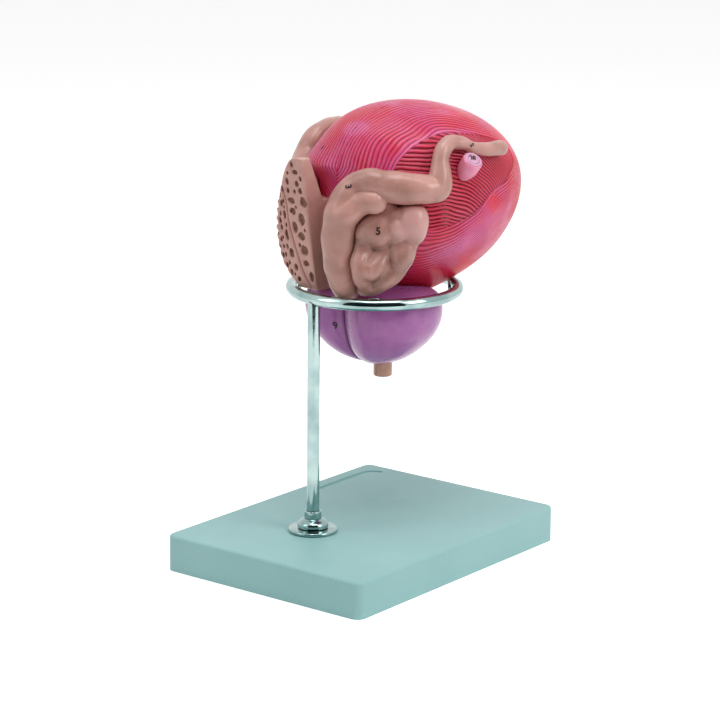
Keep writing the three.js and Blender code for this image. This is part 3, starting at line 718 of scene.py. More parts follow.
# Fixed inputs, noise of the roughness, noise and height of the relief, first tone and layers over it,
# each a noise or a mask with its colour
METAL = {"Metallic": 1}
RECIPES = {
    "board_plastic": (
        gloss(0.25), (9, 2, 0, 0.3, 0.7, 0.4, 0.48), (0.35, 2, 0.012), "#97c6c5",
        [((60, 2, 0, 0.3, 0.7), "#a1cecd"), ((0.8, 3, 0, 0.35, 0.65, 0, 0.35), "#a8d2d0")],
    ),
    "pad_rubber": (
        gloss(0.3), (3, 2, 0, 0.3, 0.7, 0.8, 0.95), (0.3, 2, 0.02), "#303334", [((0.6, 3), "#444849")],
    ),
    # The chrome's teal, darkened colour is a painted reflection of the teal board and of darker surroundings
    "chrome": (
        METAL, (4, 3, 0, 0.35, 0.7, 0.06, 0.13), None, "#8fa9a8", [((14, 2, 0, 0.35, 0.65), "#b0c6c4")],
    ),
    "magnet_nickel": (METAL, (0.3, 3, 0, 0.3, 0.7, 0.22, 0.4), None, "#85898c", [((2, 3), "#9ea2a5")]),
    "muscle_paint": (
        gloss(0.2, 0.42, 0.09, 1.4), (5, 2, 0, 0.3, 0.7, 0.3, 0.4), (0.5, 3, 0.02), "#de427c",
        # The gap layer at the end is painted shade in the fibre grooves
        [
            # A violet tint together with a painted sheen
            ((26, 2, 0, 0.38, 0.6), "#e42e4c"), (("warm",), "#f0203a"), (("sheen",), "#f27cbc"),
            # strand: painted highlight lines on the fibre crowns
            (("strand", 0.6), "#f393b4"), ((1.2, 3, 0, 0.35, 0.7, 0, 0.2), "#cc3058"), (("gap",), "#780922"),
        ],
    ),
    "lining_paint": (
        gloss(0.5, 0.2), (5, 2, 0, 0.3, 0.7, 0.35, 0.48), (0.8, 3, 0.05), "#e2a096",
        # crevice: painted shade between the folds
        [((12, 3, 0, 0.35, 0.65), "#edb8a8"), (("crevice",), "#b5605c")],
    ),
    "gland_paint": gland_recipe("#cb958a", "#ae7e72", "#664230"),
    "coil_paint": gland_recipe("#ba857a", "#9a6d61", "#5c3a2b"),
    "section_paint": (
        gloss(0.3, 0.25, 0.2, 1.4), (4, 2, 0, 0.3, 0.7, 0.4, 0.55), (0.5, 3, 0.04), "#c7938a",
        [
            ((9, 3, 0, 0.35, 0.65), "#d2a397"), ((0.7, 3, 0, 0.4, 0.7, 0, 0.3), "#e0b9ab"),
            # crevice: painted shade in crevices; pit: darker painted shade in the pits and on the lower
            # medial wall
            (("crevice", 0.7), "#93644c"), (("pit", 0.95), "#7c4e38"),
        ],
    ),
    "prostate_paint": (
        gloss(0.25, 0.5, 0.1, 1.4), (5, 2, 0, 0.3, 0.7, 0.26, 0.36), None, "#aa63a9",
        [
            ((18, 2, 0, 0.35, 0.65), "#b673b0"), ((7, 3, 0, 0.35, 0.65, 0, 0.3), "#9b5697"),
            # crevice: painted shade along the crease between the lobes
            (("crevice",), "#5d2c5f"),
        ],
    ),
    "urethra_paint": (
        gloss(0.5, 0.2), (3, 2, 0, 0.3, 0.7, 0.35, 0.48), (0.6, 3, 0.03), "#b98a74",
        [((6, 3, 0, 0.35, 0.65), "#c69883")],
    ),
    "ureter_paint": (
        gloss(0.5, 0.3), (3, 2, 0, 0.3, 0.7, 0.34, 0.45), (0.6, 3, 0.03), "#f88fb3",
        [((6, 2, 0, 0.35, 0.65), "#fba2bf"), (("cut",), "#dda3c2"), (("rim",), "#8a6490")],
    ),
    "numeral_ink": (gloss(0.4), (1, 2, 0, 0.3, 0.7, 0.4, 0.6), None, "#191719", [((0.5, 2), "#2b2729")]),
    "floor_paper": (gloss(0.1), (9, 2, 0, 0.3, 0.7, 0.85, 0.95), None, "#f4f4f4", [((40, 2), "#f8f8f8")]),
    "card_black": (gloss(0.1), (9, 2, 0, 0.3, 0.7, 0.85, 0.95), None, "#20292b", [((60, 2), "#2a3436")]),
}


def paint(name):
    """The material of a recipe."""
    fixed, rough, relief, tone, layers = RECIPES[name]
    made = bpy.data.materials.new(name)
    made.use_nodes = True
    tree = made.node_tree
    tree.nodes.clear()
    tone = linear(tone)
    for (first, *rest), colour in layers:
        kind = mask if isinstance(first, str) else noise
        share = kind(tree, first, *rest)
        both = {"Factor": share, 6: tone, 7: linear(colour)}
        tone = node(tree, "Mix", both, 2, data_type="RGBA", clamp_factor=True)
    inputs = {"Base Color": tone, "Roughness": noise(tree, *rough), **fixed}
    if relief:
        *grain, height = relief
        bumps = {"Height": noise(tree, *grain), "Distance": height * MM, "Strength": 1}
        inputs["Normal"] = node(tree, "Bump", bumps, "Normal")
    if name == "floor_paper":
        inputs["Emission Strength"] = maths(tree, "MULTIPLY", plain_sight(tree), FLOOR_LIFT)
        inputs["Emission Color"] = (1, 1, 1, 1)
    node(tree, "OutputMaterial", {"Surface": node(tree, "BsdfPrincipled", inputs, "BSDF")})
    return made


PAINTS = {name: paint(name) for name in RECIPES}


# Board


def pad_places():
    x, y = BOARD_SIZE.x / 2 - PAD_INSET, BOARD_SIZE.y / 2 - PAD_INSET
    return [(-x, -y), (x, -y), (x, y), (-x, y)]


def groove_outline():
    """Outline of the groove for a label: straight along the left side, then bent round to the front."""
    y = BOARD_SIZE.y / 2 - GROOVE_INSET
    half = GROOVE_WIDTH / 2
    bend = (GROOVE_BEND, y - GROOVE_BEND_RADIUS)
    inner = arc(bend, GROOVE_BEND_RADIUS - half, 0, 90, 12)
    outer = arc(bend, GROOVE_BEND_RADIUS + half, 90, 0, 12)
    end = arc((GROOVE_START, y), half, 90, 270, 8)
    return outer[::-1] + end + inner[::-1]


def board():
    length, width, height = BOARD_SIZE
    loops = [level(rounded_rectangle(length, width, BOARD_CORNER), 0)]
    for t in np.linspace(0, math.pi / 2, BOARD_EDGE_STEPS + 1):
        inset = BOARD_EDGE * (1 - math.cos(t))
        outline = rounded_rectangle(length - 2 * inset, width - 2 * inset, BOARD_CORNER - inset)
        loops.append(level(outline, height - BOARD_EDGE * (1 - math.sin(t))))
    obj = loft("board", loops)
    top = height - BOARD_TOP_WALL
    x, y = length / 2 - BOARD_WALL, width / 2 - BOARD_WALL
    half = RIB_WIDTH / 2
    hollow = box_tool((-x, -y, -1), (x, y, top))
    kept = [box_tool((-x - 1, -half, -2), (x + 1, half, top + 1))]
    for at in (-length / 6, length / 6):
        kept.append(box_tool((at - half, -y - 1, -2), (at + half, y + 1, top + 1)))
    kept += [post(PAD_RADIUS + BOARD_WALL, *place, -2, top + 1) for place in pad_places()]
    kept.append(post(POCKET_RADIUS + BOSS_WALL, ROD.x, ROD.y, -2, top + 1, 64))
    carve(hollow, *kept)
    tools = [
        hollow, prism("tool", groove_outline(), height - GROOVE_DEPTH, height + 1),
        post(ROD_RADIUS + TOUCH_GAP, ROD.x, ROD.y, -1, height + 1),
        post(POCKET_RADIUS, ROD.x, ROD.y, -1, top, 64),
    ]
    tools += [post(PAD_RADIUS + TOUCH_GAP, *place, -1, PAD_THICKNESS + TOUCH_GAP) for place in pad_places()]
    carve(obj, *tools, sharp=32)
    dress(obj, "stand", "board", "board_plastic", "base_board")


# Rod, fixings, ring and lugs


def rod():
    """The rod, its top hollowed to sit under the ring's wire."""
    loops = [level(circle(ROD_RADIUS, ROD.x, ROD.y, 64), rod_low.z / MM)]
    for share in (1, 0.8, 0.5, 0.2):
        outline = circle(share * ROD_RADIUS, ROD.x, ROD.y, 64)
        off = np.hypot(outline[:, 0] - ORGAN.x, outline[:, 1] - ORGAN.y) - RING_RADIUS
        hollow = np.sqrt(np.maximum((RING_WIRE + TOUCH_GAP) ** 2 - off**2, 0))
        loops.append(level(outline, ORGAN.z - hollow))
    dress(loft("polished_rod", loops, 40), "stand", "chrome", "chrome", "rod")


def rod_fixings():
    """Flange, domed nut and collar, one on top of the other."""
    hole = ROD_RADIUS + TOUCH_GAP
    flange = [(hole, 0), (FLANGE_RADIUS - BEVEL, 0), (FLANGE_RADIUS, BEVEL)]
    flange += arc((FLANGE_RADIUS - FLANGE_SOFT, FLANGE_THICKNESS - FLANGE_SOFT), FLANGE_SOFT, 0, 90, 6)
    flange += [(hole, FLANGE_THICKNESS)]
    dome = [(hole, 0), (NUT_RADIUS - BEVEL, 0), (NUT_RADIUS, BEVEL), (NUT_RADIUS, NUT_HEIGHT / 3)]
    for t in np.linspace(0, NUT_ARC, 13)[1:]:
        rise = NUT_HEIGHT * 2 / 3 * math.sin(t) / math.sin(NUT_ARC)
        dome.append((max(NUT_RADIUS * math.cos(t), COLLAR_RADIUS), NUT_HEIGHT / 3 + rise))
    dome.append((hole, NUT_HEIGHT))
    collar = [(hole, 0), (COLLAR_RADIUS, 0)]
    collar += arc((COLLAR_RADIUS - COLLAR_SOFT, COLLAR_HEIGHT - COLLAR_SOFT), COLLAR_SOFT, 0, 90, 5)
    collar += [(hole, COLLAR_HEIGHT)]
    z = BOARD_SIZE.z
    profiles = {"flange_washer": flange, "domed_nut": dome, "rod_collar": collar}
    for name, (node_name, profile) in zip(("flange", "dome_nut", "collar"), profiles.items()):
        z += TOUCH_GAP
        obj = turned(name, profile, 80, Matrix.Translation((ROD.x, ROD.y, z)))
        dress(obj, "stand", "chrome", "chrome", node_name)
        z += profile[-1][1]


def ring():
    wire = arc((RING_RADIUS, 0), RING_WIRE, 0, 360, 36)[:-1]
    obj = turned("polished_ring", wire, 200, Matrix.Translation(ORGAN))
    dress(obj, "stand", "chrome", "chrome", "support_ring")


def lugs():
    """Small plates with rounded edges, soldered inside the ring."""
    half = np.array([LUG_THICKNESS, LUG_WIDTH]) / 2
    outline = rounded_rectangle(LUG_THICKNESS, LUG_WIDTH, LUG_CORNER, 4)
    middle = [RING_RADIUS - RING_WIRE - TOUCH_GAP - half[0], 0]
    low, high = LUG_BOTTOM + LUG_BEVEL_HEIGHT, LUG_TOP - LUG_BEVEL_HEIGHT
    loops = []
    for inset, z in ((LUG_BEVEL, LUG_BOTTOM), (0, low), (0, high), (LUG_BEVEL, LUG_TOP)):
        loops.append(level(outline * (half - inset) / half + middle, z))
    for i, angle in enumerate(LUG_ANGLES):
        turn = np.array(Matrix.Rotation(math.radians(angle), 3, "Z"))
        obj = loft(f"lug_{i + 1}", [loop @ turn.T for loop in loops], 50, to_world)
        dress(obj, "stand", "chrome", "chrome", f"ring_lug_{i + 1}")


# Bladder


def egg_points(a, b, c, inset=0.0):
    """Points of the egg for points of a unit ball, drawn in by an inset."""
    depth, width, height = EGG_HALVES - inset
    broad = 1 + EGG_BROADENING * c
    x, y, z = depth * broad * a, width * broad * b, height * c
    cos, sin = math.cos(EGG_LEAN), math.sin(EGG_LEAN)
    x, z = x * cos + z * sin + EGG_CENTRE[0], z * cos - x * sin + EGG_CENTRE[2]
    out = np.hypot(x, y)
    clear = RING_RADIUS - (RING_WIRE + TOUCH_GAP + inset) * math.hypot(1, UNDERCUT_SLOPE)
    beyond = (out - clear - UNDERCUT_SLOPE * z) / UNDERCUT_ROUNDING
    kept = 1 - np.log1p(np.exp(beyond)) * UNDERCUT_ROUNDING / np.maximum(out, 1e-6)
    return np.stack([x * kept, y * kept, z], -1)


def half_egg(side, inset, rings, columns):
    """Points on one half of the egg in rings about its side pole, their chart places and normals."""
    theta = np.linspace(0, math.pi / 2, rings + 1)[:, None]
    phi = (np.arange(columns) * 2 * math.pi / columns)[None]
    a, c = np.sin(theta) * np.cos(phi), np.sin(theta) * np.sin(phi)
    b = side * np.cos(theta) * np.ones_like(phi)
    points = egg_points(a, b, c, inset)
    chart = POLE_REACH * theta[..., None] * np.stack([np.cos(phi), np.sin(phi)], -1)
    along = np.gradient(points, axis=0)
    round_ = np.roll(points, -1, axis=1) - np.roll(points, 1, axis=1)
    normal = np.cross(along, round_)
    normal[0] = (0, side, 0)
    normal /= np.maximum(np.linalg.norm(normal, axis=-1, keepdims=True), 1e-9)
    outward = np.sign((normal * (points - [EGG_CENTRE[0], 0, EGG_CENTRE[2]])).sum(-1, keepdims=True))
    return points, chart, normal * outward


def shell(name, side, outer, inner, bridge, gap, masks):
    """A closed shell from an outer and an inner grid of rings about the side pole.

    Both stay half a gap off the middle plane, where a flat rim of a few rings joins them.
    """
    for grid in (outer, inner):
        grid[-1, :, 1] = side * gap / 2
        grid[:-1, :, 1] = side * np.maximum(side * grid[:-1, :, 1], gap / 2)
    columns = outer.shape[1]
    rims = [outer[-1] + (inner[-1] - outer[-1]) * share for share in np.linspace(0, 1, bridge + 2)[1:-1]]
    rows = [*outer[1:], *rims, *inner[::-1][:-1]]
    points = np.vstack([outer[0, :1], *rows, inner[0, :1]])
    j = np.arange(columns)
    k = (j + 1) % columns
    pole = np.full(columns, len(points) - 1)
    first, last = (0 * j, 1 + j, 1 + k), (pole, pole - columns + k, pole - columns + j)
    walls = 1 + grid_quads(len(rows), columns)[:, [0, 3, 2, 1]]
    faces = [walls, np.stack(first, -1), np.stack(last, -1)]
    if side > 0:
        faces = [f[:, ::-1] for f in faces]
    full = {}
    for key, grid in masks.items():
        full[key] = np.zeros(len(points))
        full[key][0] = grid[0, 0]
        full[key][1:1 + grid[1:].size] = grid[1:].ravel()
    return mesh_object(name, to_world(points), faces, full, sharp=50)


def inner_pattern(points):
    """Phase of the inner layer's fibres: level at the back and falling towards the front."""
    x, z = points[..., 0], points[..., 2]
    ahead = np.maximum(x - 4, 0)
    wave = 0.55 * wobble(points, 15, 5) + 0.12 * wobble(points, 6, 6)
    return (z + INNER_BEND * ahead**2 + wave) / INNER_SPACING


def ridge(across, fullness):
    """Depth below a row of round cords, nought on their crowns and 1 in the gaps."""
    return 1 - np.sqrt(1 - np.minimum(fullness * across, 1) ** 2)


def flap_height(points, side):
    """How far the outer layer stands off where it laps over the left duct."""
    if side < 0:
        return np.zeros(points.shape[:-1])
    off = points - np.array(FLAP_TIP)
    above = np.maximum(off[..., 2], 0) / FLAP_RUN_UP
    below = np.minimum(off[..., 2], 0) / FLAP_RUN_DOWN
    across = (off[..., 0] * 0.86 - off[..., 1] * 0.5) / FLAP_WIDTH
    return FLAP_HEIGHT * np.exp(-(np.abs(above) ** 1.3) - below**2 - across**2)


def bell(value, width):
    return np.exp(-((value / width) ** 2))


def muscle_relief(points, chart, side):
    """Depth of the surface under the plain egg, with the masks that its paint uses."""
    x, y = chart[..., 0], chart[..., 1]
    window = spline([(*place, 0) for place in WINDOW], 10, closed=True)[:, :2]
    edge = outline_distance(chart, window)
    outside = smoothstep(-0.5, 0.4, edge)
    even = points * np.array([1, -side, 1])
    rim = POLE_REACH * math.pi / 2 - np.linalg.norm(chart, axis=-1)
    # Outer fibres follow the window's edge, and fan out and slant under it
    drift = 1.6 * wobble(even, 34, 11) + 0.22 * wobble(even, 13, 12) + 0.06 * wobble(even, 6, 17)
    fan = 0.01 * np.clip(x + 10, -15, 45) * smoothstep(25, -10, y)
    slant = 0.22 * (x + 10) * smoothstep(20, -14, y) * smoothstep(2, 16, edge)
    phase = (edge * (1 + fan) + slant + drift * smoothstep(0, 16, rim)) / FIBRE_SPACING
    strand = np.floor(phase + 0.5)
    across = 2 * np.abs(phase - strand)
    tone = np.modf(np.abs(np.sin(strand * 12.9898 + 4.1) * 43758.5453))[0]
    patch = smoothstep(-0.9, 0.7, wobble(even, 36, 13) + 0.5 * wobble(even, 13, 14))
    smooth_front = smoothstep(6, 40, x + 0.6 * y - 20) * smoothstep(0, 12, edge)
    deep = (0.35 + 0.65 * patch * (0.55 + 0.45 * tone)) * (1 - 0.15 * smooth_front)
    deep = deep + (0.95 - deep) * 0.75 * smoothstep(8, -16, x)
    # Inner fibres show in the window
    inner = inner_pattern(points)
    inner_across = 2 * np.abs(inner - np.floor(inner + 0.5))
    shaded = smoothstep(16, -16, x - 0.6 * y + 6)
    inner_depth = INNER_DEPTH * (0.7 + 0.3 * shaded)
    depth = SKIN_INSET + outside * FIBRE_DEPTH * deep * ridge(across, 0.97)
    depth += (1 - outside) * (WINDOW_DEPTH + inner_depth * ridge(inner_across, 0.985))
    depth -= flap_height(points, side)
    # Masks
    # gap: painted shade in the fibre grooves, over the whole recessed window, and a painted shadow line
    # along the window's lower edge
    gap = outside * deep * smoothstep(0.45, 1, across)
    gap += (1 - outside) * (0.16 + smoothstep(0.3, 0.95, inner_across) * (0.65 + 0.35 * shaded))
    gap += 0.8 * bell(edge + 0.25, 0.55) * smoothstep(-6, 6, x - y + 4)
    under = smoothstep(-18, -36, y)
    along, beside = (x + 4) * 0.77 + (y + 20) * 0.64, (y + 20) * 0.77 - (x + 4) * 0.64
    # A violet tint along the window's upper back edge and in patches, and a painted sheen in a patch low on
    # the side where the light falls brightest
    sheen = 0.55 * smoothstep(0, 22, y - x - 36) * bell(edge - 1.2, 1.6)
    sheen += 0.5 * smoothstep(0.2, 1.2, wobble(even, 24, 15)) * outside * (1 - under)
    sheen += 0.85 * bell(along, 20) * bell(beside, 8)
    warm = smoothstep(0.1, 1.2, wobble(even, 26, 16) + 0.022 * (x - 6) + 1.1 * under)
    # strand: painted highlight lines along the fibre crowns, in patches (glint), weaker underneath
    glint = 0.35 + 0.65 * smoothstep(-0.2, 0.9, wobble(even, 20, 18))
    crown, inner_crown = 1 - smoothstep(0.1, 0.55, across), 1 - smoothstep(0.05, 0.45, inner_across)
    return depth, {
        "gap": np.clip(gap, 0, 1),
        "sheen": np.clip(sheen, 0, 1),
        "warm": 0.9 * warm * outside + 0.5 * (1 - outside),
        "strand": glint * (outside * tone * crown * (1 - 0.6 * under) + 0.6 * (1 - outside) * inner_crown),
    }


def magnet_places():
    reach, rise = EGG_HALVES[0] - WALL / 2, EGG_HALVES[2] - WALL / 2
    c, s = math.cos(EGG_LEAN), math.sin(EGG_LEAN)
    x, z = EGG_CENTRE[0], EGG_CENTRE[2]
    return [(x + reach * c, z - reach * s), (x - reach * c, z + reach * s), (x + rise * s, z + rise * c)]


def socket_tool(x, z, side):
    """A cylinder for a magnet's socket, along the organ's y."""
    near, far = sorted((-side, side * (SPLIT_GAP / 2 + MAGNET_THICKNESS + TOUCH_GAP)))
    points = circle(MAGNET_RADIUS + TOUCH_GAP, x, z, 40)
    return loft("tool", [np.insert(points, 1, y, axis=1) for y in (far, near)], place=to_world)


def urethra_axis():
    return to_world([[URETHRA_X, 0, 0]])[0] / MM


def bore_tool():
    x, y, z = urethra_axis()
    return post(URETHRA_BORE, x, y, z + URETHRA_BOTTOM, z + EGG_CENTRE[2], 40)


def muscle(side):
    rings, columns = ((250, 560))
    outer, chart, normal = half_egg(side, 0, rings, columns)
    depth, masks = muscle_relief(outer, chart, side)
    outer = outer - normal * depth[..., None]
    inner = half_egg(side, WALL, rings // 4, columns)[0]
    obj = shell(f"{SIDES[side]}_muscle_coat", side, outer, inner, 6, SEEN_GAP, masks)
    carve(obj, bore_tool(), *(socket_tool(x, z, side) for x, z in magnet_places()), sharp=50)
    dress_half(obj, side, "muscle", "muscle_paint", "bladder_wall")


def lining(side):
    """The folded lining: low at the neck, with soft branching folds over the dome."""
    def fold(points):
        return np.abs(wobble(points, 17, 71 + side)) + 0.5 * np.abs(wobble(points, 9, 81 + side))

    rings, columns = ((130, 300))
    outside = WALL + TOUCH_GAP
    outer = half_egg(side, outside, rings // 3, columns)[0]
    inner, _, normal = half_egg(side, outside + LINING_THICKNESS, rings, columns)
    height = FOLD_HEIGHT * (1 - smoothstep(0, 0.55, fold(inner))) * smoothstep(0, 12, inner[..., 2])
    inner = inner - normal * height[..., None]
    obj = shell(f"{SIDES[side]}_folded_lining", side, outer, inner, 2, SPLIT_GAP, {})
    carve(obj, bore_tool(), sharp=50)
    place = np.empty(len(obj.data.vertices) * 3, np.float32)
    obj.data.vertices.foreach_get("co", place)
    # crevice: painted shade in the low ground between the folds
    add_mask(obj.data, "crevice", 0.8 * smoothstep(0.4, 1.1, fold(from_world(place.reshape(-1, 3)))))
    dress_half(obj, side, "lining", "lining_paint", "bladder_lining")


# Glands: smooth unions of limbs and balls, cut by their neighbours

STEP = 0.5
TUBE = spline(TUBE_ROUTE, 6)
FOLD = spline(FOLD_ROUTE, 6)
COILS = [spline(route, 5) for route in VESICLE_COILS]
LEFT_DUCT = spline(LEFT_DUCT_ROUTE, 7)


def gland_object(name, distance, box, step=STEP, rounds=5, extra=None):
    """A piece from a distance in a box, with masks for painted shade in its crevices and a painted highlight
    on its ridges.
    """
    points, quads = skin(distance, *box, step)
    points = relaxed(points, quads, rounds)
    bend = hollows(points, quads) / (step * step)
    # crevice: painted shade in the hollows; ridge: painted highlight on the ridges
    masks = {"crevice": smoothstep(0.02, 0.15, bend), "ridge": smoothstep(0.012, 0.07, -bend) * 0.5}
    if extra:
        masks.update(extra(points))
    return mesh_object(name, to_world(points), [quads], masks)


def among_others(points, gap):
    """Ends a gland just inside the muscle and a little off the prostate."""
    gap = np.maximum(gap, -(egg_distance(points) + BURIED))
    return np.maximum(gap, TOUCH_GAP - prostate_distance(points))


def tube_and_fold(points):
    return soft_min(limb_distance(points, TUBE), limb_distance(points, FOLD), 0.6)


def tube_distance(points):
    """Duct and ampulla in one run, with the fold that the ampulla lays over itself."""
    gap = among_others(points, tube_and_fold(points) + 0.28 * wobble(points, 11, 21))
    return np.maximum(gap, points[..., 1] + SEEN_GAP / 2)


def vesicle_distance(points):
    gap = limb_distance(points, COILS[0])
    for coil in COILS[1:]:
        gap = soft_min(gap, limb_distance(points, coil), 1.1)
    for x, y, z, radius, height in VESICLE_CORE:
        gap = soft_min(gap, ball_distance(points, (x, y, z), (radius, radius, height)), 2.5)
    gap = gap + 0.22 * wobble(points, 9, 22)
    gap = soft_max(gap, -ball_distance(points, DIMPLE, (1, 1, 1)), 0.9)
    return among_others(points, soft_max(gap, 0.2 - tube_and_fold(points), 2.2))


def flush(points):
    """Painted light: pinker and lighter where the coils turn to the right and up and catch the light."""
    return {"flush": 0.8 * smoothstep(-36, -43, points[:, 1]) * smoothstep(30, 40, points[:, 2])}


def left_duct_distance(points):
    return among_others(points, limb_distance(points, LEFT_DUCT) + 0.25 * wobble(points, 11, 23))


def block_tool(shift):
    """A block over the plane that parts the duct from the ampulla, moved along the duct."""
    way = Vector(DUCT_JOINT_WAY).normalized()
    spin = np.array(Vector((0, 0, 1)).rotation_difference(way).to_matrix())
    square = np.array([(-1, -1), (1, -1), (1, 1), (-1, 1)]) * DUCT_BLOCK
    loops = [level(square, z) @ spin.T + DUCT_JOINT + shift * np.array(way) for z in (0, DUCT_BLOCK)]
    return loft("tool", loops, place=to_world)


def glands():
    """Duct and ampulla are made as one skin and then parted, so that their colours and folds run on."""
    ampulla = gland_object("right_ampulla_coil", tube_distance, TUBE_BOX)
    duct = linked("right_duct", ampulla.data.copy())
    duct.data.name = duct.name
    carve(duct, block_tool(0.01), operation="INTERSECT", sharp=60)
    carve(ampulla, block_tool(-0.01), sharp=60)
    vesicle = gland_object("right_vesicle_coils", vesicle_distance, VESICLE_BOX, extra=flush)
    left = gland_object("left_duct", left_duct_distance, LEFT_DUCT_BOX)
    dress_half(duct, -1, "gland", "gland_paint", "deferent_duct")
    dress_half(ampulla, -1, "gland", "gland_paint", "ampulla")
    dress_half(vesicle, -1, "gland", "coil_paint", "seminal_vesicle")
    dress_half(left, 1, "gland", "gland_paint", "deferent_duct")


# The cut-open left side

SECTION_LEAN = (SECTION_BOTTOM_X - SECTION_TOP_X) / (SECTION_TOP_Z - SECTION_BOTTOM_Z)
SECTION_PROFILE = [
    (SECTION_SEAT_X, SECTION_SEAT_Z), (SECTION_EDGE_X, SECTION_TOP_Z), (-FAR, SECTION_TOP_Z),
    (-FAR, SECTION_BOTTOM_Z), (20, SECTION_BOTTOM_Z), (20, SECTION_SEAT_Z),
]


def face_x(z):
    """Where the leaning cut face lies at a height."""
    return SECTION_BOTTOM_X - SECTION_LEAN * (z - SECTION_BOTTOM_Z)


def section_slab_distance(points):
    """Between the leaning cut face and the muscle, above the foot, below the top and off the ring."""
    x, z = points[..., 0], points[..., 2]
    face = (face_x(z) - x) / math.hypot(1, SECTION_LEAN)
    gap = soft_max(face, outline_distance(np.stack([x, z], -1), SECTION_PROFILE), 0.8)
    off = np.hypot(x, points[..., 1]) - RING_RADIUS
    return np.maximum(among_others(points, gap), RING_WIRE + TOUCH_GAP - np.hypot(off, z))


# Pits in the cut face: y, z, half width, half height
AMPULLA_PITS = [
    (13.5, 67.5, 2, 1.5), (15.5, 71.5, 1, 1.8), (20.5, 61.5, 1.2, 2.2), (21, 56.5, 1.2, 1.6),
    (13, 61, 1.4, 2), (11, 57.5, 1.6, 1.6), (19, 51, 2.6, 1.9), (9.8, 51, 2.2, 3.4), (19, 45, 2.5, 2.1),
    (12.5, 41, 2.5, 3.8), (18.6, 36, 2, 3.4), (14.3, 31.5, 3, 2.4), (13, 23.5, 2.8, 3.1),
    (13, 16.5, 2.2, 1.8), (9.8, 9, 1.6, 3.2), (16.5, 26.5, 0.8, 1.4), (15.3, 56.5, 0.9, 1.2),
    (10, 64.5, 0.9, 1.4), (19.5, 66.5, 0.8, 1), (11, 35.5, 0.7, 1), (16, 47.8, 0.8, 1),
]
VESICLE_PITS = [
    (26, 42, 1, 3), (26, 30.5, 1.2, 3.6), (29.5, 34.5, 0.9, 1.6), (30, 38.5, 0.9, 1.8), (28, 53, 1, 1.8),
    (30.8, 46, 0.9, 2), (27.5, 48.5, 0.7, 1.8), (26.8, 24, 0.9, 2), (23.8, 20.5, 1.8, 3.1),
    (21.5, 13, 1.3, 2.3), (20, 6.5, 1.2, 1.6), (25.5, 9.5, 1, 1.8), (28.8, 13, 1, 2.2), (31, 18.5, 0.9, 1.6),
    (32.6, 23, 0.9, 1.6), (31, 27.5, 0.8, 1.6), (33, 31.5, 0.8, 2), (33, 37, 0.8, 2), (32.2, 42, 0.8, 1.8),
    (29.5, 29, 0.7, 1.2), (28.8, 19, 0.8, 1.6), (26.5, 15, 0.7, 1.4), (29, 42.5, 0.6, 1.5),
    (25.6, 36.5, 0.6, 1.6), (25.5, 50, 0.7, 1.4), (23, 9, 0.6, 1.2), (29.4, 50, 0.6, 1.2),
    (25.8, 46.5, 0.6, 1.2), (29.5, 23.8, 0.7, 1.2), (25.5, 56.5, 0.6, 1.4),
]


def pit_distance(points, pits):
    best = None
    for y, z, width, height in pits:
        gap = ball_distance(points, (face_x(z), y, z), (PIT_DEPTH, width, height))
        best = gap if best is None else np.minimum(best, gap)
    return best + 0.25 * wobble(points, 2.6, 31)


def plane_curve(places, shift=0):
    return spline([(y + shift, z, 0) for y, z in places], 8)[:, :2]


def sections():
    inner = [(SECTION_INNER_Y, SECTION_TOP_Z), (SECTION_INNER_Y, SECTION_BOTTOM_Z)]
    ampulla = np.vstack([inner, plane_curve(SEAM[::-1]), plane_curve(CROWN)[1:]])
    vesicle = np.vstack([plane_curve(SEAM, TOUCH_GAP), plane_curve(FLANK)[:-1]])
    for name, outline, pits, box in (
        ("ampulla", ampulla, AMPULLA_PITS, AMPULLA_CUT_BOX),
        ("vesicle", vesicle, VESICLE_PITS, VESICLE_CUT_BOX),
    ):
        def distance(points, outline=outline, pits=pits):
            bumps = 0.35 * np.sin(points[..., 2] * 1.25) * smoothstep(26, 31, points[..., 1])
            plan = outline_distance(points[..., 1:], outline) + bumps
            solid = soft_max(plan, section_slab_distance(points), 1.8)
            return soft_max(solid, -pit_distance(points, pits), 0.5)

        def masks(points, pits=pits):
            # Painted shade inside the pits and on the lower part of the medial wall, kept below the cut face
            depth = points[:, 0] - face_x(points[:, 2])
            inside = smoothstep(0.7, 0.1, pit_distance(points, pits))
            wall_shade = 0.55 * smoothstep(9, 7.3, points[:, 1]) * smoothstep(48, 20, points[:, 2])
            return {"pit": np.maximum(inside, wall_shade) * smoothstep(0.1, 1.0, depth)}

        obj = gland_object(f"left_{name}_cut", distance, box, SECTION_STEP, SECTION_ROUNDS, masks)
        dress_half(obj, 1, "gland", "section_paint", f"{name}_section")


# Prostate, urethra and ureters


def prostate(side):
    def distance(points):
        gap = prostate_distance(points) + 0.2 * wobble(points, 22, 55)
        gap = np.maximum(gap, -(egg_distance(points) - TOUCH_GAP))
        tube = np.hypot(points[..., 0] - URETHRA_X, points[..., 1]) - URETHRA_RADIUS - TOUCH_GAP
        gap = np.maximum(gap, -tube)
        return 0.5 * np.maximum(gap, SEEN_GAP / 2 - side * points[..., 1])

    def masks(points):
        # crevice: painted shade along the crease between the lobes, at the surface only
        skin_deep = smoothstep(-2.5, -0.8, prostate_distance(points))
        return {"crevice": smoothstep(2, 0.4, np.abs(points[:, 1])) * 0.7 * skin_deep}

    low, high = sorted((side * -1, side * PROSTATE_REACH))
    box = ((PROSTATE_BACK, low, PROSTATE_BOTTOM), (PROSTATE_FRONT, high, PROSTATE_TOP))
    name = f"{SIDES[side]}_prostate"
    obj = gland_object(name, distance, box, rounds=PROSTATE_ROUNDS, extra=masks)
    dress_half(obj, side, "prostate", "prostate_paint", "prostate_lobe")


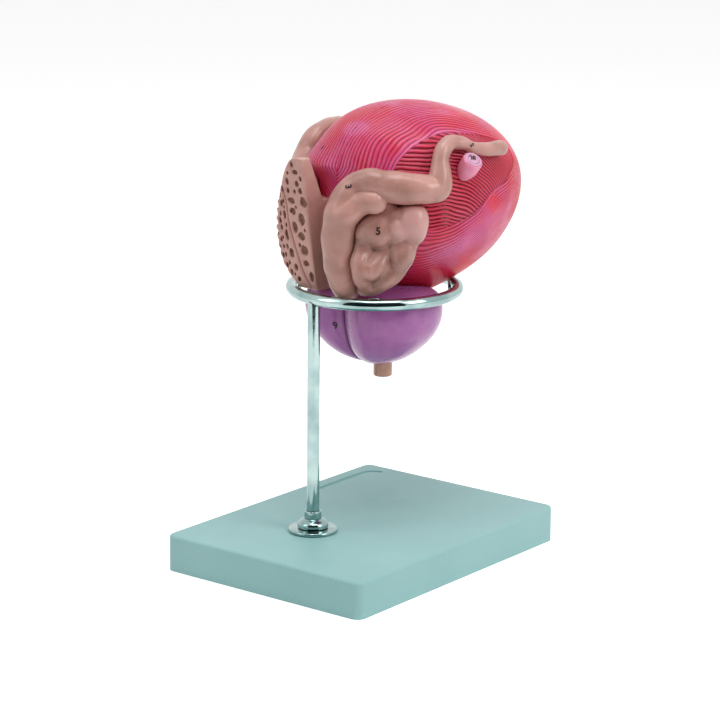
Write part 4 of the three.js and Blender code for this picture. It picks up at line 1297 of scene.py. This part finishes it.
def urethra(side):
    profile = [(URETHRA_BORE, URETHRA_BOTTOM + 0.5), (URETHRA_BORE + 0.5, URETHRA_BOTTOM)]
    end = (URETHRA_RADIUS - URETHRA_EDGE, URETHRA_BOTTOM + URETHRA_EDGE)
    profile += arc(end, URETHRA_EDGE, -90, 0, 6)
    profile += [(URETHRA_RADIUS, URETHRA_TOP), (URETHRA_BORE, URETHRA_TOP)]
    obj = turned(f"{SIDES[side]}_urethra_tube", profile, 72, Matrix.Translation(urethra_axis()))
    y0, y1 = sorted((side * SPLIT_GAP / 2, side * HALF_BLOCK))
    block = [(-HALF_BLOCK, y0, 0), (HALF_BLOCK, y0, 0), (HALF_BLOCK, y1, 0), (-HALF_BLOCK, y1, 0)]
    corners = to_world(block)[:, :2] / MM
    half = prism("tool", corners, ORGAN.z - HALF_BLOCK, ORGAN.z + HALF_BLOCK)
    carve(obj, half, operation="INTERSECT", sharp=35)
    dress_half(obj, side, "urethra", "urethra_paint", "urethra")


def ureter(side):
    """A stub with a rounded foot, a rounded rim and a paler cut end with a ring round its bore."""
    x, y, z = URETER_FOOT
    foot = (x, side * y, z - LEFT_URETER_DROP if side > 0 else z)
    way = Vector((URETER_WAY[0], side * URETER_WAY[1], URETER_WAY[2]))
    end = URETER_LENGTH
    profile = URETER_SIDE + arc((URETER_RADIUS - URETER_RIM, end - URETER_RIM), URETER_RIM, 0, 90, 9)
    profile += [(radius, end - depth) for radius, depth in URETER_MOUTH]
    spin = Vector((0, 0, 1)).rotation_difference(way).to_matrix().to_4x4()
    place = Matrix.Translation(ORGAN) @ Matrix.Rotation(ORGAN_TURN, 4, "Z") @ Matrix.Translation(foot) @ spin
    obj = turned(f"{SIDES[side]}_ureter_stub", profile, 64, place, sharp=60)
    radius, height = np.repeat(profile, 64, axis=0).T
    add_mask(obj.data, "cut", smoothstep(end - 0.7, end - 0.1, height) * (radius < URETER_RADIUS - 0.6))
    add_mask(obj.data, "rim", (height < end - 0.2) & (height > end - 0.3) & (radius > 3))
    dress_half(obj, side, "ureter", "ureter_paint", "ureter")


# Pieces of the CAD model that stay as they are


def paint_nodes():
    for name, obj in frame["nodes"].items():
        kind = "pad_rubber" if name.startswith("grip_pad") else "chrome"
        if "magnet" in name:
            kind = "magnet_nickel"
        obj.data.materials.clear()
        obj.data.materials.append(PAINTS[kind])


# Numerals: text, piece, slot, near place in the organ's frame, height, turn in degrees
NUMERALS = [
    ("3", "right_ampulla_coil", "gland", (-41, -21, 64), 4.8, -75),
    ("5", "right_vesicle_coils", "gland", (-31.5, -34.5, 40.5), 5.6, 0),
    ("2", "right_duct", "gland", (21, -54, 83.5), 3.3, -70),
    ("20", "right_ureter_stub", "ureter", (17, -56.4, 77.1), 3.6, -15),
    ("9", "left_prostate", "prostate", (-24.5, 5, -18.7), 5.6, 8),
    ("1", "left_muscle_coat", "muscle", (-22.4, 16.9, 77.2), 3.4, -25),
]
INK_THICKNESS = 0.1
INK_WEIGHT = 0.12
INK_LIFT = 0.16


def numeral(text, host, slot, near, height, spin):
    """A printed number, laid on the piece at the point of its surface nearest to a place."""
    nearest = bpy.data.objects[host].closest_point_on_mesh
    place, normal = nearest(Vector(to_world([near])[0]))[1:3]
    across = Vector((0, 0, 1)).cross(normal).normalized()
    reach = height * MM / 3
    ways = (across, -across, normal.cross(across), across.cross(normal))
    spots = [nearest(place + way * reach)[1] for way in ways]
    normal = (spots[0] - spots[1]).cross(spots[2] - spots[3]).normalized()
    lift = INK_LIFT * MM + max(0, *((spot - place).dot(normal) for spot in spots))
    data = bpy.data.curves.new(f"number_{text}", "FONT")
    data.body = text
    data.size = height * MM
    data.extrude = INK_THICKNESS * MM
    data.offset = INK_WEIGHT * MM
    data.align_x, data.align_y = "CENTER", "CENTER"
    obj = linked(f"number_{text}", data)
    across = Vector((0, 0, 1)).cross(normal).normalized()
    axes = Matrix((across, normal.cross(across), normal)).transposed().to_4x4()
    turn = Matrix.Rotation(math.radians(spin), 4, "Z")
    obj.matrix_world = Matrix.Translation(place + normal * lift) @ axes @ turn
    dress(obj, host.split("_")[0] + "_half", slot, "numeral_ink")


# Camera, floor and light


def camera():
    data = bpy.data.cameras.new("camera")
    data.lens = LENS
    data.sensor_width = SENSOR
    data.clip_end = CLIP_END
    obj = linked("camera", data)
    axes = Matrix((CAMERA_RIGHT, CAMERA_UP, CAMERA_BACK)).transposed()
    obj.matrix_world = Matrix.Translation(Vector(CAMERA_PLACE) * MM) @ axes.to_4x4()
    bpy.context.scene.camera = obj


def lamp(name, azimuth, elevation, distance, size, power):
    """A soft lamp in a direction counted from the camera: azimuth to its right, in degrees and metres."""
    turn = math.atan2(CAMERA_BACK[1], CAMERA_BACK[0]) + math.radians(azimuth)
    rise = math.radians(elevation)
    way = Vector((math.cos(turn) * math.cos(rise), math.sin(turn) * math.cos(rise), math.sin(rise)))
    data = bpy.data.lights.new(name, "AREA")
    data.shape = "RECTANGLE"
    data.size, data.size_y = size
    data.energy = power
    obj = linked(name, data)
    obj.location = Vector(LAMP_AIM) + way * distance
    obj.rotation_mode = "QUATERNION"
    obj.rotation_quaternion = (-way).to_track_quat("-Z", "Y")


def world():
    """White to the eye, and a softer grey as light."""
    made = bpy.data.worlds.new("studio")
    made.use_nodes = True
    tree = made.node_tree
    tree.nodes.clear()
    both = {"Fac": plain_sight(tree)}
    for place, strength in ((1, WORLD_GLOW), (2, 1)):
        both[place] = node(tree, "Background", {"Color": (1, 1, 1, 1), "Strength": strength})
    both = node(tree, "MixShader", both)
    node(tree, "OutputWorld", {"Surface": both})
    bpy.context.scene.world = made


def floor():
    corners = np.array([(-1, -1), (1, -1), (1, 1), (-1, 1)]) * FLOOR_HALF
    obj = prism("floor", corners, FLOOR_BOTTOM, FLOOR_TOP)
    obj.data.materials.append(PAINTS["floor_paper"])


def card():
    """A dark card in front of the model that only shows as a reflection in the polished metal."""
    back = Vector(CAMERA_BACK[:2]).normalized()
    side = Vector((-back.y, back.x)) * CARD_HALF
    near, far = back * CARD_DISTANCE, back * (CARD_DISTANCE + CARD_THICKNESS)
    corners = [tuple(corner) for corner in (near + side, far + side, far - side, near - side)]
    obj = prism("card", corners, *CARD_HEIGHTS)
    obj.visible_camera = obj.visible_diffuse = obj.visible_shadow = obj.visible_transmission = False
    obj.data.materials.append(PAINTS["card_black"])


camera()
world()
floor()
card()
for name, values in LAMPS.items():
    lamp(name, *values)
bpy.context.scene.view_settings.view_transform = "Standard"
paint_nodes()
for make in (board, rod, rod_fixings, ring, lugs):
    make()
for side in SIDES:
    for make in (muscle, lining, prostate, urethra, ureter):
        make(side)
glands()
sections()
for values in NUMERALS:
    numeral(*values)
